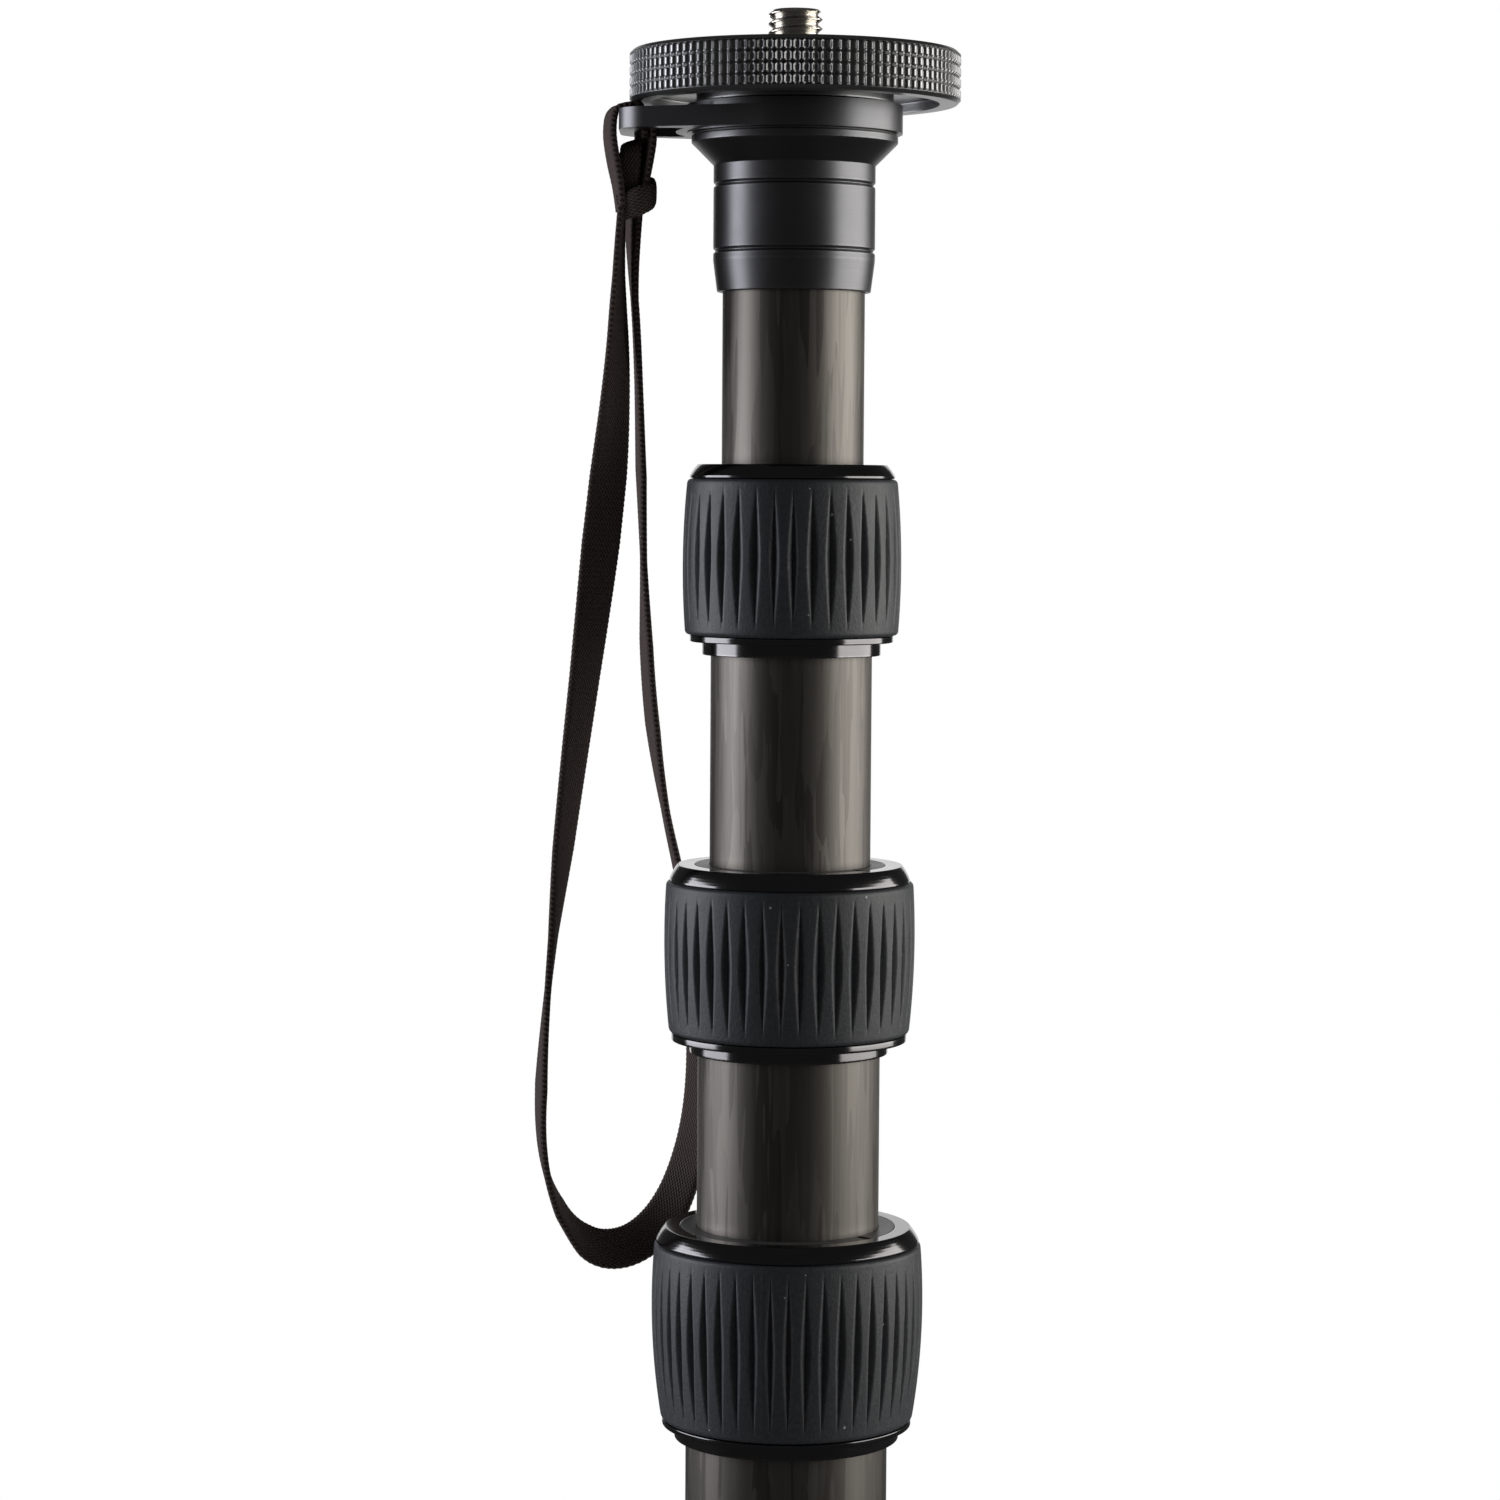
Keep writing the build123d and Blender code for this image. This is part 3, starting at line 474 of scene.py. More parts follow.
@dataclass(frozen=True)
class Finish:
    """A material: its name, a slot name that is not used, and how it varies over the surface.

    The roughness rises with a mask by its spread, and the bump's depth is its full height in metres.
    """

    name: str
    slot: str
    colour: Colour
    roughness: float
    metallic: float = 0.0
    specular: float = 0.5
    spread: float = 0.0
    depth: float = 0.0
    strength: float = 0.5

    def material(self) -> bpy.types.Material:
        """The finish as a material, built once."""
        made = bpy.data.materials.get(self.name)
        if made:
            return made
        made = bpy.data.materials.new(self.name)
        made.use_nodes = True
        graph = Graph(made.node_tree)
        inputs = made.node_tree.nodes["Principled BSDF"].inputs
        inputs["Base Color"].default_value = (*self.colour, 1)
        inputs["Roughness"].default_value = self.roughness
        inputs["Metallic"].default_value = self.metallic
        inputs["Specular IOR Level"].default_value = self.specular
        tone, mask, height = self.layers(graph, graph.add("ShaderNodeTexCoord").outputs["Object"])
        graph.feed(inputs["Base Color"], tone)
        if mask is not None:
            graph.feed(inputs["Roughness"], graph.plus(graph.times(mask, self.spread), self.roughness))
        if height is not None:
            bump = {"Height": height, "Strength": self.strength, "Distance": self.depth}
            graph.feed(inputs["Normal"], graph.add("ShaderNodeBump", bump).outputs["Normal"])
        return made

    def layers(self, graph: Graph, spot: Socket) -> Layers:
        """Colour, roughness mask and bump height at the object coordinates."""
        raise NotImplementedError

    def darker(self, share: float) -> Colour:
        """The finish's own colour times a share."""
        return tuple(share * value for value in self.colour)


@dataclass(frozen=True)
class Metal(Finish):
    """Turned metal, with fine tool lines, handling marks and brighter rubbed edges."""

    metallic: float = 1.0
    spread: float = 0.06
    depth: float = 0.004 * MM
    worn: Colour = (0.3, 0.3, 0.31)
    line_scale: float = 5000.0
    line_tone_share: float = 0.8
    line_share: float = 0.5
    smudge_scale: float = 70.0
    edge_blend: float = 0.15

    def layers(self, graph: Graph, spot: Socket) -> Layers:
        """Tool lines round the axis, as a noise of the radius and the height, with smudges and wear."""
        x, y, z = graph.add("ShaderNodeSeparateXYZ", {0: spot}).outputs
        squares = graph.plus(graph.math("POWER", x, 2.0), graph.math("POWER", y, 2.0))
        turning = graph.add("ShaderNodeCombineXYZ", {0: graph.math("SQRT", squares), 2: z}).outputs[0]
        lines = graph.noise(turning, self.line_scale, 2.0, 0.6)
        share = graph.between(lines, *NOISE_RANGE, 0, self.line_share)
        tone = graph.blend(share, self.colour, self.darker(self.line_tone_share))
        tone = graph.blend(RUBBED_AND_HIGHLIGHT.put(graph, spot, self.edge_blend), tone, self.worn)
        return tone, HANDLING.put(graph, spot, self.smudge_scale), lines


@dataclass(frozen=True)
class Moulded(Finish):
    """Rubber or plastic with a fine grain, slight mottling, specks and lighter edges: dust, and on the grips'
    groove lips also painted highlight.
    """

    spread: float = 0.08
    depth: float = 0.09 * MM
    strength: float = 0.6
    paler_tone: Colour = (0.1, 0.105, 0.113)
    grain_scale: float = 1800.0
    mottle_scale: float = 1600.0
    mottling: float = 0.24
    edge_blend: float = 0.25
    speck_scale: float = 300.0
    speck_tone: float = 0.3
    smudge_scale: float = 80.0

    def layers(self, graph: Graph, spot: Socket) -> Layers:
        """Mottling, lighter edges (dust, and painted highlight on the grips' groove lips) and specks, with
        smudges and grain.
        """
        mottle = graph.noise(spot, self.mottle_scale, 4.0, 0.75)
        mottle = graph.between(mottle, *NOISE_RANGE, 0, self.mottling)
        tone = graph.blend(mottle, self.colour, self.paler_tone)
        # Lighter edges: dust, and on the grips' groove lips a painted highlight.
        tone = graph.blend(RUBBED_AND_HIGHLIGHT.put(graph, spot, self.edge_blend), tone, self.paler_tone)
        tone = graph.blend(SPECKS.put(graph, spot, self.speck_scale), tone, (self.speck_tone,) * 3)
        return tone, HANDLING.put(graph, spot, self.smudge_scale), GRAIN.put(graph, spot, self.grain_scale)


@dataclass(frozen=True)
class CarbonTube(Finish):
    """Carbon tube under a satin lacquer: dark, with faint tows and streaks along its length."""

    metallic: float = 1.0
    spread: float = 0.08
    depth: float = 0.006 * MM
    strength: float = 0.35
    light: Colour = (0.165, 0.154, 0.14)
    tow_scale: float = 480.0
    tow_stretch: float = 0.07
    tow_share: float = 0.6
    wander_scale: float = 450.0
    wander: float = 0.006
    streak_scale: float = 1500.0
    streak_stretch: float = 0.02
    streak_share: float = 0.5
    grain_scale: float = 2500.0
    grain_share: float = 0.3
    tone_range: tuple[float, float] = (0.15, 0.95)

    def layers(self, graph: Graph, spot: Socket) -> Layers:
        """Long pointed cells for the tows, which wander with a noise, and finer streaks and grain."""
        drawn = graph.stretched(spot, self.tow_stretch)
        noise = {"Vector": drawn, "Scale": self.wander_scale, "Detail": 1.0}
        push = {0: graph.add("ShaderNodeTexNoise", noise).outputs[1], 1: (self.wander,) * 3}
        push = graph.add("ShaderNodeVectorMath", push, operation="MULTIPLY").outputs[0]
        drawn = graph.add("ShaderNodeVectorMath", {0: drawn, 1: push}, operation="ADD").outputs[0]
        cells = graph.add("ShaderNodeTexVoronoi", {"Vector": drawn, "Scale": self.tow_scale})
        tows = graph.add("ShaderNodeSeparateColor", {0: cells.outputs["Color"]}).outputs[0]
        streaks = graph.noise(graph.stretched(spot, self.streak_stretch), self.streak_scale, 3.0, 0.6)
        mixed = graph.plus(graph.times(tows, self.tow_share), graph.times(streaks, self.streak_share))
        tone = graph.blend(graph.between(mixed, *self.tone_range, 0, 1), self.colour, self.light)
        grain = graph.times(GRAIN.put(graph, spot, self.grain_scale), self.grain_share)
        return tone, mixed, graph.plus(streaks, grain)


@dataclass(frozen=True)
class Webbing(Finish):
    """Woven webbing: ribs across the width, yarns along it, from its UV map; colour follows their height as
    painted shade and highlight.
    """

    specular: float = 0.04
    spread: float = 0.1
    depth: float = 0.2 * MM
    strength: float = 0.9
    # Colour of the raised yarns: a painted highlight.
    light: Colour = (0.14, 0.111, 0.103)
    rib_pitch: float = 0.95
    yarn_pitch: float = 0.62
    fuzz_scale: float = 3000.0
    fuzz_share: float = 0.5
    tone_range: tuple[float, float] = (-0.2, 1.1)

    def layers(self, graph: Graph, spot: Socket) -> Layers:
        """Yarns as a product of two waves along and across the band, with fuzz from fine noise; the colour
        follows this height.
        """
        flat = graph.add("ShaderNodeUVMap", uv_map=WEAVE_UV).outputs[0]
        along, across, _ = graph.add("ShaderNodeSeparateXYZ", {0: flat}).outputs
        rib = graph.math("COSINE", graph.times(along, math.tau / self.rib_pitch))
        yarn = graph.math("COSINE", graph.times(across, math.tau / self.yarn_pitch))
        fuzz = GRAIN.put(graph, spot, self.fuzz_scale)
        weave = graph.times(graph.times(rib, yarn), 1 - self.fuzz_share)
        height = graph.plus(weave, graph.times(fuzz, self.fuzz_share))
        # Painted shade and highlight: the colour runs from the dark colour in the weave's hollows to the
        # light one on its raised yarns and fuzz.
        tone = graph.blend(graph.between(height, *self.tone_range, 0, 1), self.colour, self.light)
        return tone, fuzz, height


@dataclass(frozen=True)
class FloorPaint(Finish):
    """Pale matt floor with a faint mottling."""

    cloud_scale: float = 3.0
    cloud_tone_share: float = 0.95

    def layers(self, graph: Graph, spot: Socket) -> Layers:
        """Slight mottling in the colour, on an even and smooth surface."""
        cloud = graph.noise(spot, self.cloud_scale, 3.0, 0.5)
        return graph.blend(cloud, self.colour, self.darker(self.cloud_tone_share)), None, None


CARBON = CarbonTube("carbon_lacquer", "carbon_tube", (0.085, 0.079, 0.073), 0.41)
ANODISED = Metal("anodised_satin", "anodised_black", (0.115, 0.115, 0.12), 0.36)
POLISHED = Metal(
    "polished_ring", "polished_black", (0.1, 0.098, 0.1), 0.13,
    depth=0.0008 * MM, edge_blend=0.25, spread=0.05,
)
STAINLESS = Metal("turned_stainless", "stainless", (0.6, 0.57, 0.52), 0.22, worn=(0.8, 0.78, 0.74))
# Copy of the anodised black at about twice its colour, for the plate alone: painted highlight for the light
# its knurl catches.
LIT_KNURL = Metal(
    "knurled_satin_lit", "anodised_black", (0.24, 0.24, 0.244), 0.33,
    depth=0.0004 * MM, edge_blend=0.08, spread=0.03,
)
GRIP_RUBBER = Moulded("grip_moulding", "grip_rubber", (0.0195, 0.022, 0.027), 0.5)
FOOT_RUBBER = Moulded("foot_moulding", "foot_rubber", (0.025, 0.025, 0.027), 0.62, grain_scale=1200.0)
COLLET_PLASTIC = Moulded(
    "collet_moulding", "collet_plastic", (0.05, 0.05, 0.052), 0.4, depth=0.02 * MM, mottling=0.1
)
GUIDE_PLASTIC = Moulded(
    "guide_moulding", "guide_plastic", (0.07, 0.07, 0.07), 0.45, depth=0.02 * MM, mottling=0.1
)
WOVEN = Webbing("woven_webbing", "webbing", (0.034, 0.026, 0.0245), 0.8)
FLOOR = FloorPaint("studio_floor", "", (0.82, 0.82, 0.81), 0.6)


def place(piece: Piece, body: str, finish: Finish, *nodes: str) -> Piece:
    """Gives a piece its finish, its body and the CAD nodes that it stands for, and reports it.

    Args:
        piece: The piece, at the origin.
        body: Body that it moves with.
        finish: Its finish.
        nodes: CAD nodes that it replaces.

    Returns:
        The same piece.
    """
    piece.data.materials.clear()
    piece.data.materials.append(finish.material())
    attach(piece, body)
    if nodes:
        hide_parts(*nodes)
    LOG.info("%s: %d faces, rides on %s", piece.name, len(piece.data.polygons), body)
    return piece


def dress(node: str, finish: Finish) -> None:
    """Gives a CAD node that stays its finish."""
    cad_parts[node].material_slots[0].material = finish.material()
    LOG.info("%s: CAD shape, %s", node, finish.name)


@dataclass
class Telescope:
    """The four carbon tubes, all but the thinnest with key grooves in the bore, and the guides between them.
    """

    wall: float = 1.25 * MM
    end_radius: float = 0.2 * MM
    key_width: float = 2.6 * MM
    key_depth: float = 0.4 * MM
    key_edge: float = 1.001
    key_slack: float = 1.0001

    def build(self) -> None:
        """Builds the tubes and dresses the guides."""
        for number, radius in enumerate(TUBE_RADII, start=1):
            place(self.tube(number, radius), f"section_{number}", CARBON, f"tube_{number}")
        for number in range(1, len(TUBE_RADII)):
            dress(f"guide_{number}_front", GUIDE_PLASTIC)
            dress(f"guide_{number}_back", GUIDE_PLASTIC)

    def tube(self, number: int, radius: float) -> Piece:
        """One tube. All but the thinnest have a key groove on both sides of the bore, at the angles of Y.

        The groove is an inset of minus its depth on the bore's points, between the angles whose sine is
        half the key's width over the bore's radius.
        """
        node = f"tube_{number}"
        foot, top = span_of(node)
        bore = radius - self.wall
        corners = [(bore, foot), (radius, foot), (radius, top), (bore, top)]
        outline, exposed = rounded(corners, self.end_radius)
        half = math.asin(self.key_width / 2 / bore)
        sides = (-self.key_edge, -1, 1, self.key_edge)
        edges = [middle + side * half for middle in (math.pi / 2, 1.5 * math.pi) for side in sides]
        angles = np.unique(np.r_[even_angles(SEGMENTS), edges])
        from_key = np.abs(np.abs(angles - math.pi) - math.pi / 2)
        groove = (from_key <= half * self.key_slack) & (number > 1)
        on_bore = outline[:, 0] < bore + self.wall / 4
        inset = -self.key_depth * groove[:, None] * on_bore[None, :]
        return turned(node + "_skin", outline, exposed, angles, inset)


@dataclass
class TwistLock:
    """One twist lock: turned nut, grooved rubber sleeve, split collet and ferrule."""

    number: int
    rim_radius: float
    rim_chamfer: float
    core_radius: float
    foot_radius: float
    seam_radius: float
    ferrule_radius: float
    grip_drop: float
    grip_height: float
    grip_radii: tuple[float, float, float]
    groove_count: int
    lip_height: float = 1.6 * MM
    rim_land: float = 0.45 * MM
    rim_turn_degrees: tuple[float, float] = (44.0, 62.0)
    rim_steps: int = 6
    nut_corner: float = 0.2 * MM
    nut_rubbed: float = 0.3
    seam_degrees: float = 80.0
    seam_height: float = 0.05 * MM
    groove_margin: float = 1.2 * MM
    groove_depth: float = 0.85 * MM
    groove_share: float = 0.56
    groove_samples: int = 14
    groove_power: float = 1.5
    # Width and start of the lighter band on the groove lips: dust, and a painted highlight.
    lip_band_width_share: float = 0.22
    lip_band_from: float = 0.04
    grip_rows: int = 84
    grip_corner: float = 0.8 * MM
    cone_degrees: float = 12.0
    mouth_wall: float = 0.9 * MM
    cone_foot_wall: float = 0.6 * MM
    stop_height: float = 1.2 * MM
    ferrule_corner: float = 0.15 * MM
    collet_bevel: float = 0.15 * MM

    def build(self) -> None:
        """Builds the lock's four pieces."""
        collar, collet = f"lock_{self.number}_collar", f"collet_{self.number}"
        place(self.ferrule(), f"section_{self.number + 1}", POLISHED, f"ferrule_{self.number}")
        place(refined_copy(collet, self.collet_bevel), f"lock_{self.number}_collet", COLLET_PLASTIC, collet)
        place(self.nut(), collar, POLISHED, f"lock_nut_{self.number}")
        place(self.grip(), collar, GRIP_RUBBER, f"lock_grip_{self.number}")

    def nut(self) -> Piece:
        """Turned nut with its top ring, whose shoulder is an arc, and its lower ring.

        The shoulder leans in by q degrees, from 44 at its foot to 62 at its top: with cos and sin of q taken
        from 0 to 1 over that range, its radius falls with the cosine and its height rises with the sine.
        """
        node = f"lock_nut_{self.number}"
        foot, top = span_of(node)
        bore = self.ferrule_radius + RUNNING_FIT
        rim_foot = top - self.grip_drop
        core_foot = rim_foot - self.grip_height
        turn = np.radians(np.linspace(*self.rim_turn_degrees, self.rim_steps))
        height = self.grip_drop - self.rim_land
        fall = self.rim_chamfer * (np.cos(turn[0]) - np.cos(turn)) / (np.cos(turn[0]) - np.cos(turn[-1]))
        rise = height * (np.sin(turn) - np.sin(turn[0])) / (np.sin(turn[-1]) - np.sin(turn[0]))
        shoulder = np.stack([self.rim_radius - fall, top - height + rise], axis=-1)
        corners = [
            (bore, foot), (self.foot_radius, foot), (self.foot_radius, core_foot),
            (self.core_radius, core_foot), (self.core_radius, rim_foot), (self.rim_radius, rim_foot),
            *shoulder.tolist(),
            (self.seam_radius, top), (self.seam_radius, top - self.lip_height), (bore, top - self.lip_height),
        ]
        return lathe(node + "_skin", corners, self.nut_corner, FINE_SEGMENTS, self.nut_rubbed)

    def ferrule(self) -> Piece:
        """Ferrule glued on the lower tube, with the stop lip and the cone seat inside its mouth."""
        node = f"ferrule_{self.number}"
        foot, top = span_of(node)
        upper_tube, lower_tube = TUBE_RADII[self.number - 1 : self.number + 1]
        bore, lip = lower_tube + RUNNING_FIT, upper_tube + 3 * RUNNING_FIT
        mouth, seat = self.ferrule_radius - self.mouth_wall, upper_tube + self.cone_foot_wall
        cone_foot = top - (mouth - seat) / math.tan(math.radians(self.cone_degrees))
        stop_foot = cone_foot - self.stop_height
        corners = [
            (bore, foot), (self.ferrule_radius, foot), (self.ferrule_radius, top), (mouth, top),
            (seat, cone_foot), (lip, cone_foot), (lip, stop_foot), (bore, stop_foot),
        ]
        return lathe(node + "_skin", corners, self.ferrule_corner, FINE_SEGMENTS)

    def grip(self) -> Piece:
        """Rubber sleeve with a barrel outline and a ring of grooves pointed at both ends.

        The outer radius at height h is the parabola through the three given radii, less the corner's arc
        c - sqrt(c^2 - (c-e)^2) where the distance e to an end is under c. A groove's depth is its full
        depth times k (1 - u / (share k)), with u the distance from its middle over half the pitch, k equal
        to 1 - |t|^1.5, and t from -1 to 1 along the groove. The mould's seam stands out at one angle.
        """
        node = f"lock_grip_{self.number}"
        foot, top = span_of(node)
        half_height, middle = (top - foot) / 2, (top + foot) / 2
        t = np.sin(np.linspace(-math.pi / 2, math.pi / 2, self.grip_rows))
        t = 0.5 * t + 0.5 * np.linspace(-1, 1, self.grip_rows)
        top_radius, middle_radius, foot_radius = self.grip_radii
        bow = (top_radius + foot_radius) / 2 - middle_radius
        radius = middle_radius + (top_radius - foot_radius) / 2 * t + bow * t**2
        corner = np.clip(self.grip_corner - half_height * (1 - np.abs(t)), 0, None)
        radius = radius - (self.grip_corner - np.sqrt(self.grip_corner**2 - corner**2))
        inner = self.core_radius + RUNNING_FIT
        barrel = np.stack([radius, middle + half_height * t], axis=-1)
        outline = np.concatenate([[[inner, foot]], barrel, [[inner, top]]])
        angles = even_angles(self.groove_count * self.groove_samples)
        u = 2 * np.abs((angles * self.groove_count / math.tau + 0.5) % 1 - 0.5)
        along = np.clip(np.abs(t) * half_height / (half_height - self.groove_margin), 0, 1)
        taper = 1 - along**self.groove_power
        share = np.maximum(self.groove_share * taper, LEAST_SHARE)
        depth = self.groove_depth * taper * np.clip(1 - u[:, None] / share, 0, None)
        seam = np.argmin(np.abs(np.exp(1j * angles) - np.exp(1j * math.radians(self.seam_degrees))))
        depth[seam] -= self.seam_height
        # Lighter band on the groove lips: dust, and a painted highlight where the lips catch light.
        lip = np.clip(1 - np.abs(u[:, None] - share) / self.lip_band_width_share, 0, 1) * (taper > self.lip_band_from)
        inset, wear = (np.pad(rows, ((0, 0), (1, 1))) for rows in (depth, lip))
        return turned(node + "_skin", outline, wear, angles, inset, sharp_degrees=60.0)


@dataclass
class Head:
    """Neck, strap ring, camera plate and stud."""

    neck_radius: float = 14.2 * MM
    neck_foot_radius: float = 13.5 * MM
    neck_corner: float = 0.25 * MM
    taper_top: float = 5.5 * MM
    flare: float = 3.9 * MM
    rim_height: float = 1.3 * MM
    lower_groove: float = 7.1 * MM
    upper_groove_drop: float = 8.65 * MM
    groove_half: float = 0.45 * MM
    cap_height: float = 9.25 * MM
    spigot_radius: float = 13.6 * MM
    ring_bevel: float = 0.22 * MM
    shank_radius: float = 3.175 * MM
    shank_length: float = 11.0 * MM
    plate_radius: float = 29.0 * MM
    plate_chamfer: float = 0.65 * MM
    plate_corner: float = 0.12 * MM
    recess_inner: float = 17.3 * MM
    recess_outer: float = 25.3 * MM
    recess_depth: float = 1.8 * MM
    teeth: int = 118
    tooth_depth: float = 0.45 * MM
    crest_share: float = 0.12
    root_share: float = 0.94
    knurl_rows: int = 4
    knurl_rubbed: float = 0.6
    samples_per_row: int = 9
    samples_per_tooth: int = 8
    edge_arc: int = 3
    row_depth: float = 0.5 * MM
    row_flat_share: float = 0.58
    stud_radius: float = 4.7625 * MM
    stud_chamfer: float = 0.6 * MM
    stud_corner: float = 0.1 * MM
    stud_segments: int = 96
    thread_samples: int = 110
    thread_pitch: float = 1.5875 * MM
    thread_depth: float = 0.8 * MM
    thread_rubbed: float = 0.5
    flank_slope: float = 2.5
    flank_cut: float = 0.125
    run_out: float = 0.3 * MM
    flange_radius: float = 7.7625 * MM
    flange_height: float = 2.6 * MM
    slot_width: float = 1.4 * MM
    slot_depth: float = 1.6 * MM

    def build(self) -> None:
        """Builds the head's pieces."""
        place(self.neck(), "section_1", ANODISED, "neck")
        dress("swivel_washer", GUIDE_PLASTIC)
        place(refined_copy("strap_ring", self.ring_bevel, 3), "strap", ANODISED, "strap_ring")
        place(self.plate(), "section_1", LIT_KNURL, "camera_plate")
        place(self.stud(), "section_1", STAINLESS, "camera_stud")

    def neck(self) -> Piece:
        """Neck casting: tapered foot, two V grooves, flared rim and the spigot inside the ring."""
        foot, plate_foot = span_of("neck")
        rim_top = span_of("swivel_washer")[0]
        bore, hole = TUBE_RADII[0] + RUNNING_FIT, self.shank_radius + RUNNING_FIT
        hole_foot = plate_foot - self.shank_length - RUNNING_FIT
        rim, rim_foot = self.neck_radius + self.flare, rim_top - self.rim_height
        cut = self.groove_half
        grooves = []
        for height in (foot + self.lower_groove, rim_top - self.upper_groove_drop):
            grooves += [(self.neck_radius, height - cut), (self.neck_radius - cut, height)]
            grooves.append((self.neck_radius, height + cut))
        corners = [
            (bore, foot), (self.neck_foot_radius, foot), (self.neck_radius, foot + self.taper_top), *grooves,
            (self.neck_radius, rim_foot - self.flare), (rim, rim_foot), (rim, rim_top),
            (self.spigot_radius, rim_top), (self.spigot_radius, plate_foot), (hole, plate_foot),
            (hole, hole_foot), (0, hole_foot), (0, rim_top - self.cap_height),
            (bore, rim_top - self.cap_height),
        ]
        return lathe("neck_skin", corners, self.neck_corner, FINE_SEGMENTS)

    def plate(self) -> Piece:
        """Camera plate with a knurled rim and a shallow recess round a boss underneath.

        The rim's depth is the larger of the tooth's and the row's. With u from 0 at a tooth's middle to 1 at
        the groove's, the tooth's is its full depth times 3v^2 - 2v^3, where v goes from 0 to 1 as u goes from
        the crest's share to the root's. The row's falls evenly from nothing at the flat's share to its full
        depth at |t| = 1, with t from -1 to 1 over each row. The rows take the place of the two points between
        the last two corners.
        """
        foot, top = span_of("camera_plate")
        bore, flange = self.shank_radius + RUNNING_FIT, self.flange_radius + RUNNING_FIT
        flange_foot = top - self.flange_height - RUNNING_FIT
        face = self.plate_radius - self.plate_chamfer
        low, high = foot + self.plate_chamfer, top - self.plate_chamfer
        recess_top = foot + self.recess_depth
        corners = [
            (face, top), (flange, top), (flange, flange_foot), (bore, flange_foot), (bore, foot),
            (self.recess_inner, foot), (self.recess_inner, recess_top), (self.recess_outer, recess_top),
            (self.recess_outer, foot), (face, foot), (self.plate_radius, low), (self.plate_radius, high),
        ]
        inner, worn = rounded(corners, self.plate_corner, self.edge_arc)
        last_run = len(inner) - self.edge_arc - 2 * SUPPORTS
        rows = np.linspace(0, self.knurl_rows, self.knurl_rows * self.samples_per_row + 1)[1:-1]
        heights = low + (high - low) * rows / self.knurl_rows
        rim = np.stack([np.full(len(rows), self.plate_radius), heights], axis=-1)
        outline = np.concatenate([inner[:last_run], rim, inner[last_run + SUPPORTS :]])
        rubbed = np.full(len(rim), self.knurl_rubbed)
        exposed = np.concatenate([worn[:last_run], rubbed, worn[last_run + SUPPORTS :]])
        t = 2 * (rows % 1) - 1
        ends = self.row_depth * np.clip((np.abs(t) - self.row_flat_share) / (1 - self.row_flat_share), 0, 1)
        phases = np.linspace(-0.5, 0.5, self.samples_per_tooth + 1)[:-1]
        angles = ((np.arange(self.teeth)[:, None] + phases) / self.teeth * math.tau).ravel()
        v = np.clip((2 * np.abs(phases) - self.crest_share) / (self.root_share - self.crest_share), 0, 1)
        tooth = np.tile((3 * v**2 - 2 * v**3) * self.tooth_depth, self.teeth)
        inset = np.zeros((len(angles), len(outline)))
        inset[:, last_run : last_run + len(rim)] = np.maximum(tooth[:, None], ends[None, :])
        return turned("camera_plate_skin", outline, exposed, angles, inset, sharp_degrees=24.0)

    def stud(self) -> Piece:
        """Threaded stud with a flange sunk in the plate and a screwdriver slot.

        The thread's radius at angle a and height z is the stud's, less the depth times a triangle wave of z
        over the pitch minus a over a full turn. The wave is stretched by a quarter and cut flat at both ends.
        A cone cuts the thread at the top.
        """
        foot, top = span_of("camera_stud")
        plate_top = span_of("camera_plate")[1]
        flange_foot = plate_top - self.flange_height
        corners = [
            (0, foot), (self.shank_radius, foot), (self.shank_radius, flange_foot),
            (self.flange_radius, flange_foot), (self.flange_radius, plate_top),
        ]
        lower, worn = (part[:-SUPPORTS] for part in rounded(corners, self.stud_corner))
        heights = np.linspace(plate_top, top, self.thread_samples)
        cap = np.minimum(self.stud_radius, self.stud_radius - self.stud_chamfer + (top - heights))
        outline = np.concatenate([lower, np.stack([cap, heights], axis=-1), [[0.0, top]]])
        exposed = np.concatenate([worn, np.full(len(heights), self.thread_rubbed), [0.0]])
        angles = even_angles(self.stud_segments)
        turn = (heights[None, :] - plate_top) / self.thread_pitch - angles[:, None] / math.tau
        flank = np.clip(self.flank_slope * np.abs((turn % 1) - 0.5) - self.flank_cut, 0, 1)
        run_out = np.clip((heights - plate_top) / self.run_out, 0, 1)
        crest = self.stud_radius - self.thread_depth * flank * run_out
        inset = np.zeros((len(angles), len(outline)))
        inset[:, len(lower) : len(lower) + len(heights)] = cap[None, :] - np.minimum(cap[None, :], crest)
        stud = turned("camera_stud_skin", outline, exposed, angles, inset, sharp_degrees=30.0)
        return self.cut_slot(stud, top)

    def cut_slot(self, stud: Piece, top: float) -> Piece:
        """Cuts the screwdriver slot, a box across the stud's upper end.

        The box's corners are its half sizes times every choice of signs, moved to the stud's top.
        """
        signs = np.array([(x, y, z) for x in (-1, 1) for y in (-1, 1) for z in (-1, 1)], float)
        half = np.array([3 * self.stud_radius, self.slot_width / 2, self.slot_depth])
        sides = [[0, 1, 3, 2], [4, 6, 7, 5], [0, 4, 5, 1], [2, 3, 7, 6], [0, 2, 6, 4], [1, 5, 7, 3]]
        cutter = make_piece("slot_cutter", signs * half + np.array([0, 0, top]), sides)
        cut = stud.modifiers.new("slot", "BOOLEAN")
        cut.operation = "DIFFERENCE"
        cut.solver = "EXACT"
        cut.object = cutter
        seen = stud.evaluated_get(bpy.context.evaluated_depsgraph_get())
        mesh = bpy.data.meshes.new_from_object(seen)
        stud.modifiers.clear()
        stud.data = mesh
        bpy.data.objects.remove(cutter)
        return stud


